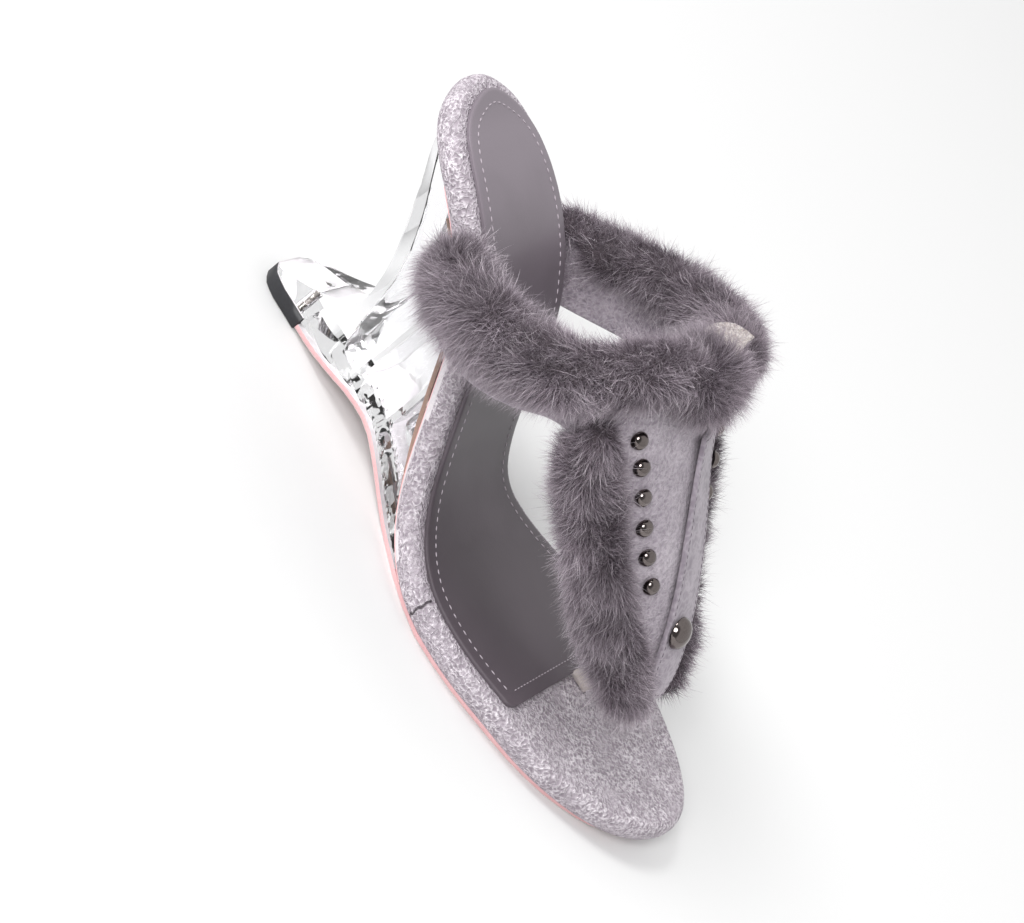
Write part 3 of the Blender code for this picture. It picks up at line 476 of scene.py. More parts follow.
# Clear heel: one hollow moulding in clear plastic about 3 mm thick, open under the footbed, with two
# ribs across it, a boss for the screw and a bore for the pin of the tip.
HEEL_WALL = 0.0034
TIP_HEIGHT = 0.0060
FIT_GAP = 0.0003
# share of length, height as a share of the heel rise, half widths of the sole as shares of the ball width
UNDERSIDE = np.array([
    (0.500, 0.000, 0.422, 0.330),
    (0.526, 0.000, 0.386, 0.300),
    (0.563, 0.002, 0.331, 0.284),
    (0.611, 0.037, 0.289, 0.277),
    (0.658, 0.081, 0.259, 0.271),
    (0.704, 0.109, 0.229, 0.253),
    (0.751, 0.099, 0.205, 0.235),
    (0.807, 0.058, 0.175, 0.205),
    (0.853, 0.027, 0.145, 0.179),
    (0.890, 0.014, 0.124, 0.163),
    (0.920, 0.010, 0.122, 0.160),
    (0.958, 0.010, 0.116, 0.154),
    (0.977, 0.010, 0.093, 0.131),
    (0.988, 0.010, 0.054, 0.092),
])
# back edge, from under the footbed round the notch to the tip: step, share of length, share of the rise
HEEL_BACK = np.array([
    (0, 0.970, 0.937),
    (1, 0.936, 0.849),
    (2, 0.908, 0.730),
    (3, 0.885, 0.616),
    (4, 0.867, 0.506),
    (5, 0.857, 0.401),
    (6, 0.856, 0.347),
    (7, 0.860, 0.305),
    (8, 0.871, 0.267),
    (9, 0.893, 0.220),
    (10, 0.921, 0.170),
    (11, 0.953, 0.121),
])
HEEL_CELLS = ((0.560, 0.682), (0.692, 0.768), (0.778, 0.956))
# lowest point of the hollow: share of length, share of the heel rise
HEEL_HOLLOW = np.array([
    (0.540, 0.090),
    (0.611, 0.112),
    (0.658, 0.152),
    (0.704, 0.180),
    (0.751, 0.172),
    (0.800, 0.136),
    (0.820, 0.150),
    (0.836, 0.300),
    (0.846, 0.450),
    (0.858, 0.550),
    (0.875, 0.640),
    (0.895, 0.728),
    (0.918, 0.818),
    (0.940, 0.896),
    (0.962, 0.955),
])


def heel_section(share, wall, floor, above):
    """Ring across the heel: a little concave at the sides, rounded along the bottom edges."""
    lateral, medial = half_widths(share)
    inset = 0.45 * FOOTBED_MARGIN
    low_lateral = smooth(UNDERSIDE, 2, share) * BALL_WIDTH
    low_medial = smooth(UNDERSIDE, 3, share) * BALL_WIDTH
    samples = np.linspace(0, 1, 400)
    y, z = bed_down(samples)
    depth = FOOTBED_THICKNESS + 1.6 * FIT_GAP
    ceiling = np.interp(share * LENGTH, samples * LENGTH + depth * y, bed_height(samples) + depth * z) + above
    base = smooth(UNDERSIDE, 1, share) * HEEL_RISE + 0.0020 + FIT_GAP if floor is None else floor
    high = max(ceiling - base, 0.0002)
    soft = min(0.0022, 0.3 * high)
    rows = []
    for up in np.linspace(1, 0.2, 9):
        rows.append((up * high, up, 0.0030 * math.sin(math.pi * up) * min(1, high / 0.05)))
    rows = [row for row in rows if row[0] > 1.3 * soft]
    for turn in np.radians([0, 22, 45, 67, 90]):
        rise = soft * (1 - math.sin(turn))
        rows.append((rise, rise / high, soft * (1 - math.cos(turn))))
    left = []
    right = []
    for rise, up, bow in rows:
        half_lateral = low_lateral + (lateral + inset - low_lateral) * up - bow - wall
        half_medial = low_medial + (medial + inset - low_medial) * up - bow - wall
        left.append((-half_lateral, share * LENGTH, base + rise))
        right.append((half_medial, share * LENGTH, base + rise))
    return np.array(left + right[::-1]) + MIDDLE


def helper(name, shape):
    """Object that only takes part in the cutting, and is removed after it."""
    mesh = bpy.data.meshes.new(name)
    bmesh.ops.recalc_face_normals(shape, faces=shape.faces)
    shape.to_mesh(mesh)
    shape.free()
    made = bpy.data.objects.new(name, mesh)
    bpy.context.scene.collection.objects.link(made)
    return made


def heel_loft(name, sections):
    """Closed loft through sections that all have the same number of points."""
    shape = bmesh.new()
    loops = hoops(shape, sections)
    for end in (loops[0], loops[-1]):
        bmesh.ops.contextual_create(shape, geom=end)
    return helper(name, shape)


def same_count(ring, count):
    """The section's line walked again in count even steps, so that it matches its neighbours."""
    steps = np.linalg.norm(np.diff(ring, axis=0), axis=1)
    run = np.concatenate([[0], np.cumsum(steps)])
    return np.column_stack([np.interp(np.linspace(0, run[-1], count), run, ring[:, c]) for c in range(3)])


shares = np.concatenate([
    np.linspace(0.512, 0.90, 44),
    0.90 + 0.088 * np.sin(np.linspace(0, math.pi / 2, 16))[1:],
])
heel = heel_loft("heel_outside", [same_count(heel_section(share, 0.0, None, 0.0), 40) for share in shares])
cutters = []
for first, last in HEEL_CELLS:
    inside = []
    for share in np.linspace(first, last, int((last - first) / 0.005)):
        floor = smooth(HEEL_HOLLOW, 1, share) * HEEL_RISE + 0.0010
        inside.append(same_count(heel_section(share, HEEL_WALL, floor, 0.004), 52))
    cutters.append(("DIFFERENCE", heel_loft("cell", inside)))

back_line = []
for step in np.linspace(0, 11, 60):
    back_line.append((smooth(HEEL_BACK, 1, step) * LENGTH, smooth(HEEL_BACK, 2, step) * HEEL_RISE))
samples = np.linspace(0, 1, 400)
y, z = bed_down(samples)
depth = FOOTBED_THICKNESS + FIT_GAP
seat = np.interp(0.988 * LENGTH, samples * LENGTH + depth * y, bed_height(samples) + depth * z) + 0.001
tip_top = TIP_HEIGHT + FIT_GAP
outline = [(0.9885 * LENGTH, seat)] + back_line
outline += [(0.985 * LENGTH, tip_top), (1.2 * LENGTH, tip_top), (1.2 * LENGTH, seat)]
shape = bmesh.new()
side = shape.faces.new([shape.verts.new((-0.08 + MIDDLE[0], y + MIDDLE[1], z)) for y, z in outline])
swept = bmesh.ops.extrude_face_region(shape, geom=[side])["geom"]
moved = [item for item in swept if isinstance(item, bmesh.types.BMVert)]
bmesh.ops.translate(shape, vec=(0.16, 0, 0), verts=moved)
cutters.append(("DIFFERENCE", helper("notch", shape)))


def block(name, low, high):
    """Box between two corners, in the footbed's own measures."""
    shape = bmesh.new()
    size = Vector(high) - Vector(low)
    middle = Matrix.Translation((Vector(high) + Vector(low)) / 2 + Vector(MIDDLE))
    bmesh.ops.create_cube(shape, size=1, matrix=middle @ Matrix.Diagonal((*size, 1)))
    return helper(name, shape)


def rod(name, x, y, low, high, first, second):
    """Upright round bar, of one radius at its foot and one at its head."""
    shape = bmesh.new()
    middle = Matrix.Translation(Vector((x, y, (low + high) / 2)) + Vector(MIDDLE))
    bmesh.ops.create_cone(shape, cap_ends=True, segments=32, radius1=first, radius2=second, depth=high - low,
                          matrix=middle)
    return helper(name, shape)


SCREW = (0.01 * BALL_WIDTH, 0.655 * LENGTH)
PIN = (0.018 * BALL_WIDTH, 0.914 * LENGTH)
boss_top = 0.27 * HEEL_RISE
boss_foot = 0.085 * HEEL_RISE + 0.0050
tip_room = block("tip_room", (-0.08, 0.892 * LENGTH - FIT_GAP, -0.01), (0.08, 0.3, tip_top))
cutters.append(("DIFFERENCE", tip_room))
cutters.append(("UNION", rod("boss", *SCREW, boss_foot, boss_top, 0.0052, 0.0046)))
cutters.append(("DIFFERENCE", rod("screw_bore", *SCREW, boss_foot + 0.0027, 0.05, 0.0022, 0.0022)))
cutters.append(("DIFFERENCE", rod("pin_bore", *PIN, 0.0, 0.145 * HEEL_RISE + FIT_GAP, 0.0019, 0.0019)))
for operation, cutter in cutters:
    carve = heel.modifiers.new(cutter.name, "BOOLEAN")
    carve.operation = operation
    carve.solver = "EXACT"
    carve.object = cutter
bpy.context.view_layer.update()
carved = heel.evaluated_get(bpy.context.evaluated_depsgraph_get())
shape = bmesh.new()
shape.from_mesh(carved.data)
bmesh.ops.remove_doubles(shape, verts=shape.verts, dist=0.00001)
for gone in [heel] + [cutter for _, cutter in cutters]:
    bpy.data.objects.remove(gone)
# clear moulded polycarbonate: glossy and almost colourless, its walls seen mostly by their edges
clear_plastic, tree, shader, where = material(
    "clear_moulded_plastic", IOR=1.49, Transmission_Weight=1.0, Base_Color=hexa("#fdfdfe"))
# handling has dulled it a little, in clouds about 11 mm across
handled = add(tree, "ShaderNodeTexNoise", {"Vector": where, "Scale": 90.0, "Detail": 5.0})["Fac"]
dull = add(tree, "ShaderNodeValToRGB", {"Fac": handled}, stops=((0.45, 0.015), (0.75, 0.07)))["Color"]
tree.links.new(dull, shader.inputs["Roughness"])
heel_piece = finish_piece("heel_clear", shape, clear_plastic, "clear_plastic", "clear_heel",
                          smooth_angle=14.0)
# clear plastic throws hardly any shadow, where a traced solid of it would throw a black one
heel_piece.visible_shadow = False

# Heel tip, pin and screw: the tip is black rubber, and a plated steel pin stands from it in the
# heel's bore. A plated steel screw stands in the boss of the front cell.
# hard rubber: nearly black, with a dull even shine
tip_rubber = grained_finish("hard_black_rubber", "#1e1e22", "#2b2b2f", 0.0006, 0.00006, 0.45)
cement_on_top(finish_piece("tip_rubber", cad_copy("heel_tip"), tip_rubber, "black_rubber", "heel_tip"))
# plated steel: a soft grey metal shine, seen through the plastic
heel_steel = grained_finish("plated_steel", "#a09a94", "#b2aca6", 0.0004, 0.00002, 0.22, Metallic=1.0)
for node in ("heel_pin", "heel_screw"):
    finish_piece(node + "_steel", cad_copy(node), heel_steel, "heel_steel", node)

# Upper: soft suede about 2 mm thick with a thin crushed shimmer on it, wings and side straps cut in
# one piece. Fine creases run all over it.
suede, tree, shader, where = material(
    "crushed_suede", Roughness=0.8, Sheen_Weight=0.25, Sheen_Roughness=0.5)
# brushed clouds about 17 mm across, creases of one bend in 1.5 mm, and a fibre drawn as coarse as
# 1.1 mm so that it shows
nap = add(tree, "ShaderNodeTexNoise",
          {"Vector": where, "Scale": 60.0, "Detail": 5.0, "Roughness": 0.6})["Fac"]
crease = add(tree, "ShaderNodeTexNoise", {"Vector": where, "Scale": 1 / 0.0015, **CRUSHED},
             noise_type="RIDGED_MULTIFRACTAL")["Fac"]
fibre = add(tree, "ShaderNodeTexNoise",
            {"Vector": where, "Scale": 900.0, "Detail": 4.0, "Roughness": 0.7})["Fac"]
lie = 0.0
height = 0.0
for source, share, rise in ((nap, 0.45, 2.4), (crease, 0.24, 1.0), (fibre, 0.36, 0.6)):
    lie = add(tree, "ShaderNodeMath", {0: source, 1: share, 2: lie}, operation="MULTIPLY_ADD")[0]
    height = add(tree, "ShaderNodeMath", {0: source, 1: rise, 2: height}, operation="MULTIPLY_ADD")[0]
colour = add(tree, "ShaderNodeValToRGB", {"Fac": lie},
             stops=((0.32, "#827883"), (0.52, "#a89ea8"), (0.78, "#d2c9d1")))["Color"]
shine = add(tree, "ShaderNodeValToRGB", {"Fac": crease}, stops=((0.6, 0.0), (0.95, 0.22)))["Color"]
bump = add(tree, "ShaderNodeBump", {"Height": height, "Strength": 0.9, "Distance": 0.0004})["Normal"]
for socket, value in (("Base Color", colour), ("Metallic", shine), ("Normal", bump)):
    tree.links.new(value, shader.inputs[socket])


def rounded_copy(node, crease_from=50.0):
    """CAD node turned back to quads for subdividing, with its cut edges kept crisp."""
    shape = cad_copy(node)
    bmesh.ops.join_triangles(shape, faces=shape.faces, angle_face_threshold=math.radians(30),
                             angle_shape_threshold=math.radians(60))
    shape.normal_update()
    crease = shape.edges.layers.float.new("crease_edge")
    for line in shape.edges:
        if len(line.link_faces) == 2 and line.calc_face_angle() > math.radians(crease_from):
            line[crease] = 0.85
    return shape


def subdivide(piece, levels):
    """Rounds a finished piece, the same in the viewport as in a render."""
    made = piece.modifiers.new("rounding", "SUBSURF")
    made.levels = levels
    made.render_levels = levels


upper = finish_piece("upper_suede", rounded_copy("upper"), suede, "grey_suede", "upper", smooth_angle=180.0)
subdivide(upper, 2)

# Centre strap: a nubuck band with its edge sewn all round in a darker thread. It stands down the
# middle of the vamp, with the large stud near its foot.
# nubuck: a short even nap, duller and smoother than the suede, in clouds about 11 mm across
nubuck, tree, shader, where = material("nubuck", Roughness=0.72, Sheen_Weight=0.2)
nap = add(tree, "ShaderNodeTexNoise", {"Vector": where, "Scale": 90.0, "Detail": 6.0})["Fac"]
crease = add(tree, "ShaderNodeTexNoise", {"Vector": where, "Scale": 1 / 0.0022, **CRUSHED},
             noise_type="RIDGED_MULTIFRACTAL")["Fac"]
lie = add(tree, "ShaderNodeMath", {0: nap, 1: 0.7}, operation="MULTIPLY")[0]
lie = add(tree, "ShaderNodeMath", {0: crease, 1: 0.3, 2: lie}, operation="MULTIPLY_ADD")[0]
colour = add(tree, "ShaderNodeValToRGB", {"Fac": lie}, stops=((0.3, "#857c86"), (0.7, "#aea5ae")))["Color"]
bump = add(tree, "ShaderNodeBump", {"Height": lie, "Strength": 0.5, "Distance": 0.0003})["Normal"]
tree.links.new(colour, shader.inputs["Base Color"])
tree.links.new(bump, shader.inputs["Normal"])


def outer_rim(shape, facing):
    """Corners round the outer face of a sheet, in order, and that face's normal at each."""
    links = {}
    normal = {}
    for line in shape.edges:
        if len(line.link_faces) != 2:
            continue
        turned = [face.normal.dot(facing) > 0.55 for face in line.link_faces]
        if turned[0] != turned[1]:
            one, two = line.verts
            links.setdefault(one, []).append(two)
            links.setdefault(two, []).append(one)
            for vert in (one, two):
                normal[vert] = line.link_faces[0 if turned[0] else 1].normal.copy()
    start = next(iter(links))
    walk = [start]
    while True:
        ahead = [vert for vert in links[walk[-1]] if vert not in walk]
        if not ahead:
            break
        walk.append(ahead[0])
    return np.array([vert.co for vert in walk]), np.array([normal[vert] for vert in walk])


shape = rounded_copy("centre_strap")
rim, facing = outer_rim(shape, Vector((0, -0.76, 0.65)))
strap = finish_piece("centre_strap_nubuck", shape, nubuck, "strap_leather", "centre_strap",
                     smooth_angle=180.0)
subdivide(strap, 2)
# bonded thread: matt, darker than what it sews
dark_thread = grained_finish("dark_thread", "#5f555f", "#766c76", 0.0003, 0.00005, 0.7)
steps = np.linalg.norm(np.roll(rim, -1, axis=0) - rim, axis=1)
run = np.concatenate([[0], np.cumsum(steps)])
closed = np.vstack([rim, rim[:1]])
turned = np.vstack([facing, facing[:1]])
even = np.linspace(0, run[-1], 240)
path = np.column_stack([np.interp(even, run, closed[:, c]) for c in range(3)])
normals = np.column_stack([np.interp(even, run, turned[:, c]) for c in range(3)])
normals /= np.linalg.norm(normals, axis=1)[:, None]
ahead = np.roll(path, -3, axis=0) - np.roll(path, 3, axis=0)
ahead /= np.linalg.norm(ahead, axis=1)[:, None]
inward = np.cross(normals, ahead)
if ((path.mean(axis=0) - path) * inward).sum() < 0:
    inward = -inward
STRAP_STITCH_IN = 0.0013
path = path + STRAP_STITCH_IN * inward - 0.00002 * normals
stitches("strap_stitches", path, normals, dark_thread, "strap_leather", 0.0016, 0.0023, 0.00022)

# Keeper tab: a short raw-edged band of the footbed's cloth in a warmer shade, painted paler for the light
# that falls on it, folded over the fur at the front of the collar.
# painted light: the footbed's crackle cloth made paler here, where light falls on the tab
keeper_cloth_painted_light = crackle_finish("keeper_crackle_cloth_painted_light", "#a59a95", "#c4bbb7", "#e8e2df", False)
keeper = finish_piece("keeper_tab_cloth", rounded_copy("keeper_tab"), keeper_cloth_painted_light, "crackle_fabric",
                      "keeper_tab", smooth_angle=180.0)
subdivide(keeper, 2)

# Toe post: a strip of pale leather between the footbed and the foot of the vamp, which passes
# between the toes.
# undyed leather: matt, with a small pebbled grain
beige_leather = grained_finish("pale_leather", "#c6bbb4", "#dcd3cd", 0.0006, 0.00012, 0.6)
post = finish_piece("toe_post_leather", rounded_copy("toe_post"), beige_leather, "beige_leather", "toe_post",
                    smooth_angle=180.0)
subdivide(post, 2)

# Studs: domes pressed from thin metal, which sit on the leather, six on each wing and a large one
# on the strap.
# gunmetal plate: a dark, clean mirror that shows the lights as small bright spots
gunmetal = grained_finish("gunmetal_plate", "#6d6563", "#7e7674", 0.0005, 0.00001, 0.10, Metallic=1.0)
INSIDE_THE_SHOE = np.array([0.0045, 0.0249, 0.036])
for node in [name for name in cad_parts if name.startswith("stud_")]:
    points = np.array([vert.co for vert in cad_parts[node].data.vertices])
    # the dome's axis is the way in which its points spread least, turned away from the foot
    up = Vector(np.linalg.eigh(np.cov(np.unique(points.round(6), axis=0).T))[1][:, 0])
    if up.dot(Vector(points.mean(axis=0) - INSIDE_THE_SHOE)) < 0:
        up = -up
    along = points @ np.array(up)
    foot = points[along < along.min() + 0.0002]
    middle = Vector((foot.min(axis=0) + foot.max(axis=0)) / 2)
    height = along.max() - along.min()
    radius = np.linalg.norm(foot - np.array(middle), axis=1).max()
    profile = [(0.0, height)]
    for turn in np.radians(np.linspace(80, 8, 9)):
        profile.append((0.96 * radius * math.cos(turn), height * (0.10 + 0.90 * math.sin(turn))))
    profile += [(radius, 0.10 * height), (radius, 0.0), (0.0, 0.0)]
    shape = bmesh.new()
    corners = [shape.verts.new((across, 0, rise)) for across, rise in profile]
    lines = [shape.edges.new(pair) for pair in zip(corners, corners[1:])]
    bmesh.ops.spin(shape, geom=corners + lines, cent=(0, 0, 0), axis=(0, 0, 1), angle=2 * math.pi, steps=28,
                   use_merge=True)
    bmesh.ops.remove_doubles(shape, verts=shape.verts, dist=0.00002)
    bmesh.ops.recalc_face_normals(shape, faces=shape.faces)
    turn = Vector((0, 0, 1)).rotation_difference(up).to_matrix().to_4x4()
    bmesh.ops.transform(shape, matrix=Matrix.Translation(middle) @ turn, verts=shape.verts)
    finish_piece(node + "_dome", shape, gunmetal, "gunmetal", node, smooth_angle=50.0)

# Fur: long-haired shearling, rolled over the collar and along the lower edge of each wing. A dense
# soft undercoat, painted dark at the roots for the shade deep in the coat, with paler, longer and curlier
# guard hairs standing out of it.
# the skin under the hair: matt, painted dark for the shade deep in the coat, seen only where the hair parts
fur_skin_painted_shade = grained_finish("shearling_skin", "#40383d", "#574d53", 0.0012, 0.00025, 0.82)


def hair_finish(name, root, middle, tip):
    """Hair dyed grey-mauve: a strand runs from a root painted dark for the shade deep in the coat to a pale
    tip, and strands differ a little.
    """
    made, tree, shader, where = material(name, Roughness=0.6, Specular_IOR_Level=0.35)
    strand = add(tree, "ShaderNodeUVMap", {}, uv_map="strand")["UV"]
    parts = add(tree, "ShaderNodeSeparateXYZ", {"Vector": strand})
    # painted shade: the colour darkens from the tip down to the root
    run = add(tree, "ShaderNodeValToRGB", {"Fac": parts["Y"]},
              stops=((0.0, root), (0.5, middle), (1.0, tip)))["Color"]
    vary = add(tree, "ShaderNodeValToRGB", {"Fac": parts["X"]}, stops=((0.0, 0.62), (1.0, 1.30)))["Color"]
    colour = add(tree, "ShaderNodeMix", {0: 1.0, 6: run, 7: vary}, data_type="RGBA", blend_type="MULTIPLY")[2]
    tree.links.new(colour, shader.inputs["Base Color"])
    return made


under_hair = hair_finish("shearling_undercoat", "#2e272c", "#6f646d", "#c8bdc6")
guard_hair = hair_finish("shearling_guard_hair", "#584d54", "#9b8f98", "#e2dae0")


def wander(points, seed, scale):
    """Smooth wandering vectors through space, for the lie of the hair."""
    rng = np.random.RandomState(seed)
    total = np.zeros_like(points)
    for _ in range(6):
        wave = rng.normal(size=(3, 3)) / scale
        total += np.sin(points @ wave + rng.uniform(0, 6.28, 3))
    return total / 2.5


# no hair ends further than this from its root: shearling is clipped to an even length
MOST_REACH = 0.0120


def hair(name, node, count, long, wide, seed, finish, joints, lean, curl, clump, fall=0.10, keep=None):
    """Joined mesh of flat tapered hairs that grow out of a CAD fur solid, each a strip with a point.

    Its points are worked out here, because no operator grows tens of thousands of hairs in the time.
    """
    rng = np.random.RandomState(seed)
    skin = cad_copy(node)
    bmesh.ops.triangulate(skin, faces=skin.faces)
    skin.normal_update()
    corner = np.array([[vert.co for vert in face.verts] for face in skin.faces])
    turned = np.array([[vert.normal for vert in face.verts] for face in skin.faces])
    skin.free()
    if keep is not None:
        chosen = keep(corner.mean(axis=1))
        corner = corner[chosen]
        turned = turned[chosen]
    area = np.linalg.norm(np.cross(corner[:, 1] - corner[:, 0], corner[:, 2] - corner[:, 0]), axis=1)
    face = rng.choice(len(area), count, p=area / area.sum())
    share = rng.uniform(size=(count, 2))
    share = np.where(share.sum(axis=1)[:, None] > 1, 1 - share, share)
    weight = np.column_stack([1 - share.sum(axis=1), share])[:, :, None]
    root = (corner[face] * weight).sum(axis=1)
    normal = (turned[face] * weight).sum(axis=1)
    normal /= np.linalg.norm(normal, axis=1)[:, None]
    flow = 0.6 * wander(root, 5, 0.010) + 0.5 * wander(root, 6, 0.0040) + 0.35 * wander(root, 7, 0.0017)
    flow -= (flow * normal).sum(axis=1)[:, None] * normal
    start = normal + lean * flow + 0.30 * rng.normal(size=(count, 3))
    start /= np.linalg.norm(start, axis=1)[:, None]
    size = long * rng.uniform(0.60, 1.20, count)[:, None]
    bend = curl * (0.7 * flow + 0.7 * rng.normal(size=(count, 3))) + np.array([0, 0, -fall])
    # each hair starts 1 mm under the skin, and the tips of neighbours draw together in tufts
    foot = root - 0.0010 * normal
    reach = np.linalg.norm(size * (start + bend), axis=1)[:, None]
    size = size * np.minimum(1, MOST_REACH / reach)
    tips = foot + size * (start + bend)
    centres = root[rng.choice(count, max(8, count // 90), replace=False)]
    near = np.empty(count, int)
    for low in range(0, count, 4000):
        gap = ((root[low:low + 4000, None, :] - centres[None]) ** 2).sum(axis=2)
        near[low:low + 4000] = gap.argmin(axis=1)
    gather = np.zeros((len(centres), 3))
    amount = np.zeros(len(centres))
    np.add.at(gather, near, tips)
    np.add.at(amount, near, 1)
    pull = clump * (gather[near] / amount[near][:, None] - tips)
    levels = np.linspace(0, 1, joints)
    line = np.stack([foot + size * (start * t + bend * t * t) + pull * t * t for t in levels], axis=1)
    side = np.cross(line[:, -1] - line[:, 0], rng.normal(size=(count, 3)))
    side /= np.linalg.norm(side, axis=1)[:, None]
    half = wide * rng.uniform(0.7, 1.3, count)[:, None] / 2
    # a strip of quads for each hair, closed by one triangle at its point
    points = []
    height = []
    for k in range(joints - 1):
        taper = 1 - 0.55 * levels[k]
        points += [line[:, k] - side * half * taper, line[:, k] + side * half * taper]
        height += [levels[k], levels[k]]
    points = np.stack(points + [line[:, -1]], axis=1)
    height = np.array(height + [1.0])
    each = 2 * joints - 1
    pattern = []
    firsts = []
    for k in range(joints - 2):
        firsts.append(len(pattern))
        pattern += [2 * k, 2 * k + 1, 2 * k + 3, 2 * k + 2]
    firsts.append(len(pattern))
    pattern += [2 * joints - 4, 2 * joints - 3, 2 * joints - 2]
    strands = np.arange(count)[:, None]
    corners = (strands * each + np.array(pattern)).ravel()
    starts = (strands * len(pattern) + np.array(firsts)).ravel()
    mesh = bpy.data.meshes.new(name)
    mesh.vertices.add(count * each)
    mesh.vertices.foreach_set("co", points.ravel())
    mesh.loops.add(len(corners))
    mesh.loops.foreach_set("vertex_index", corners)
    mesh.polygons.add(len(starts))
    mesh.polygons.foreach_set("loop_start", starts)
    mesh.update(calc_edges=True)
    shade = np.clip(0.5 + 0.22 * wander(root, 8, 0.006)[:, 0] + 0.22 * rng.normal(size=count), 0, 1)
    strand = mesh.uv_layers.new(name="strand")
    strand.data.foreach_set("uv", np.column_stack([shade[corners // each], height[corners % each]]).ravel())
    mesh.shade_smooth()
    mesh.materials.append(finish)
    piece = bpy.data.objects.new(name, mesh)
    bpy.context.scene.collection.objects.link(piece)
    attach(piece, "root")


for node in ("fur_collar", "fur_trim_lateral", "fur_trim_medial"):
    # the skin's dark colour is painted shade for the depth of the coat
    skin = finish_piece(node + "_skin", rounded_copy(node), fur_skin_painted_shade, "shearling", node, smooth_angle=180.0)
    subdivide(skin, 1)


def lower_outside(points):
    """Skin on the lateral lower side of the collar's roll, from where hair hangs over the strap."""
    middle = np.interp(points[:, 1], [-0.03, 0.0, 0.03, 0.07], [0.106, 0.104, 0.096, 0.082])
    return (points[:, 0] < -0.004) & (points[:, 2] < middle - 0.003)


# lengths, widths and bends of the undercoat, the guard hairs and two places that lie differently
COAT = dict(long=0.0051, wide=0.00015, finish=under_hair, joints=3, lean=0.32, curl=0.42, clump=0.14)
GUARD = dict(long=0.0080, wide=0.00013, finish=guard_hair, joints=5, lean=0.60, curl=0.50, clump=0.15)
hair("fur_collar_lateral_coat", "fur_collar", 52000, seed=11, keep=lambda p: p[:, 0] < -0.018, **COAT)
hair("fur_collar_front_coat", "fur_collar", 52000, seed=12, keep=lambda p: abs(p[:, 0] - 0.003) <= 0.021,
     **COAT)
hair("fur_collar_medial_coat", "fur_collar", 42000, seed=13, keep=lambda p: p[:, 0] > 0.024, **COAT)
hair("fur_trim_lateral_coat", "fur_trim_lateral", 50000, seed=14, **COAT)
hair("fur_trim_medial_coat", "fur_trim_medial", 32000, seed=15, **COAT)
FRINGE = dict(COAT, long=0.0050, lean=0.30, fall=1.10)
hair("fur_collar_fringe", "fur_collar", 14000, seed=19, keep=lower_outside, **FRINGE)
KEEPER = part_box("keeper_tab")


def by_the_keeper(points):
    """Skin beside the keeper tab, whose hair lies over the tab's edge."""
    return (abs(points[:, 0] - KEEPER[0][0] + 0.005) < 0.006) & (points[:, 1] < KEEPER[1][1] + 0.002)


COVER = dict(COAT, long=0.0104, lean=0.22, fall=-0.10)
hair("fur_collar_by_keeper", "fur_collar", 8000, seed=20, keep=by_the_keeper, **COVER)
hair("fur_collar_guard", "fur_collar", 11000, seed=16, **GUARD)
hair("fur_trim_lateral_guard", "fur_trim_lateral", 4200, seed=17, **GUARD)
hair("fur_trim_medial_guard", "fur_trim_medial", 2200, seed=18, **GUARD)

# Floor, lights and camera: a white table top in a white room. One soft lamp stands behind the heel
# and one at the lateral side, and the camera keeps the photograph's angle.
floor_shape = bmesh.new()
bmesh.ops.create_grid(floor_shape, x_segments=1, y_segments=1, size=20)
floor_mesh = bpy.data.meshes.new("floor")
floor_shape.to_mesh(floor_mesh)
floor_shape.free()
floor = bpy.data.objects.new("floor", floor_mesh)
bpy.context.scene.collection.objects.link(floor)
floor_paint = material("matt_white_table_paint", Roughness=0.9, Base_Color=(0.76, 0.76, 0.76, 1))[0]
floor_mesh.materials.append(floor_paint)

world = bpy.data.worlds.new("studio")
world.use_nodes = True
tree = world.node_tree
background = tree.nodes["Background"]
# the walls are white, but for a greyer one on the side where one stands, which the studs mirror
towards = add(tree, "ShaderNodeTexCoord", {})["Generated"]
aside = add(tree, "ShaderNodeVectorMath", {0: towards, 1: (-0.901, -0.044, 0.431)},
            operation="DOT_PRODUCT")["Value"]
walls = add(tree, "ShaderNodeValToRGB", {"Fac": aside}, stops=((0.62, 1.0), (0.80, 0.28)))["Color"]
tree.links.new(walls, background.inputs["Color"])
background.inputs["Strength"].default_value = 0.80
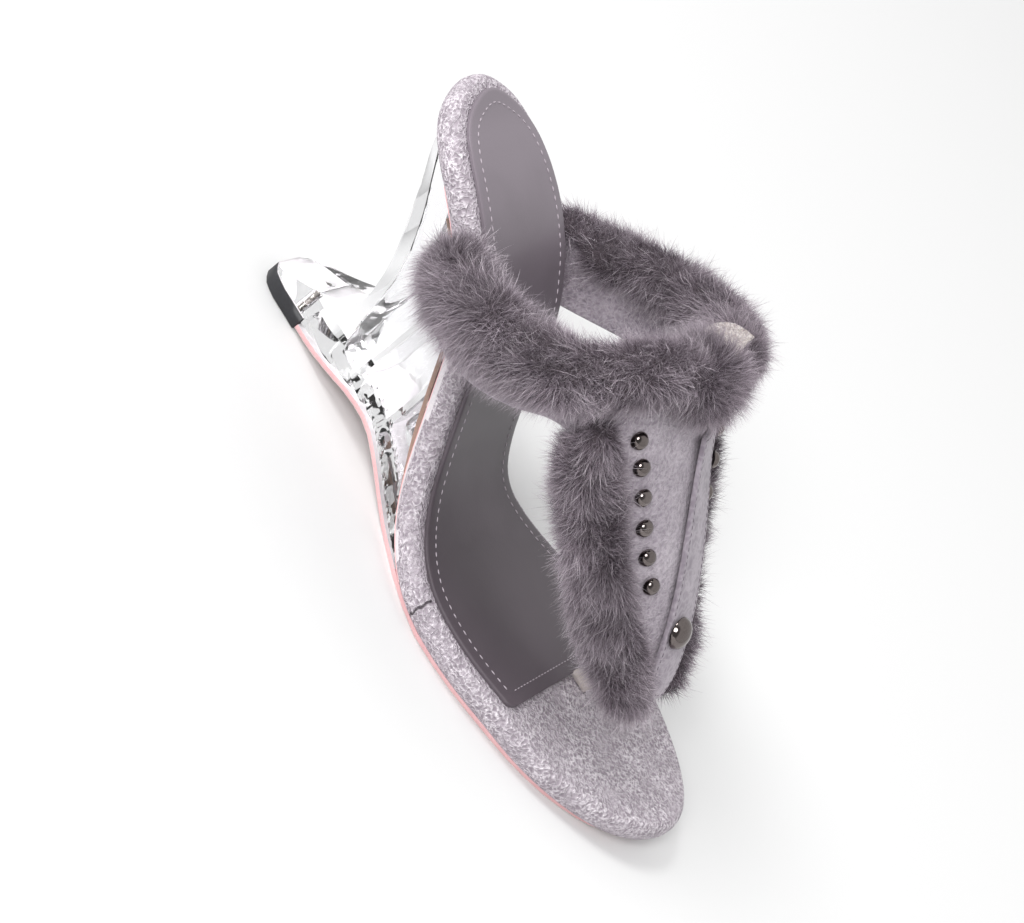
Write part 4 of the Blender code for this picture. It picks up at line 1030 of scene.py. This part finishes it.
# light crosses the hollow heel's many walls before it is given up
bpy.context.scene.cycles.max_bounces = 24
bpy.context.scene.cycles.transmission_bounces = 24
bpy.context.scene.world = world
bpy.context.scene.view_settings.view_transform = "Standard"


def soft_light(name, place, size, power):
    """Round soft box, turned to the shoe."""
    light = bpy.data.lights.new(name, "AREA")
    light.shape = "DISK"
    light.size = size
    light.energy = power
    holder = bpy.data.objects.new(name, light)
    holder.location = place
    holder.rotation_mode = "QUATERNION"
    holder.rotation_quaternion = (Vector((0, 0, 0.05)) - Vector(place)).to_track_quat("-Z", "Y")
    bpy.context.scene.collection.objects.link(holder)


soft_light("key", (-1.0, 2.2, 2.3), 1.2, 58)
soft_light("fill", (-3.0, 0.3, 2.2), 1.6, 94)

# the camera's right, down and ahead, its focal length in pixels and its place, as solved from the shoe
PHOTO_TURN = np.array([
    (0.38527527, -0.53745221, 0.75013871),
    (-0.19900306, -0.84215552, -0.5011705),
    (0.90108865, 0.0438087, -0.43141633),
])
PHOTO_FOCAL = 2259.7
PHOTO_EYE = (-0.677526, -0.069213, 0.427515)
FRAME = (1024, 923)
# the picture is centred on the one shoe that is built, and a little closer
VIEW_CENTRE = (298.0, 447.0)
ZOOM = 1.13
across = (VIEW_CENTRE[0] - FRAME[0] / 2) / PHOTO_FOCAL
down = (VIEW_CENTRE[1] - FRAME[1] / 2) / PHOTO_FOCAL
aim = PHOTO_TURN.T @ np.array([across, down, 1])
aim /= np.linalg.norm(aim)
right = PHOTO_TURN[0] - (PHOTO_TURN[0] @ aim) * aim
right /= np.linalg.norm(right)
up = np.cross(right, aim)
camera = bpy.data.cameras.new("camera")
camera.sensor_width = 36
camera.lens = PHOTO_FOCAL * ZOOM * camera.sensor_width / FRAME[0]
eye = bpy.data.objects.new("camera", camera)
bpy.context.scene.collection.objects.link(eye)
eye.matrix_world = Matrix((
    (right[0], up[0], -aim[0], PHOTO_EYE[0]),
    (right[1], up[1], -aim[1], PHOTO_EYE[1]),
    (right[2], up[2], -aim[2], PHOTO_EYE[2]),
    (0, 0, 0, 1),
))
bpy.context.scene.camera = eye
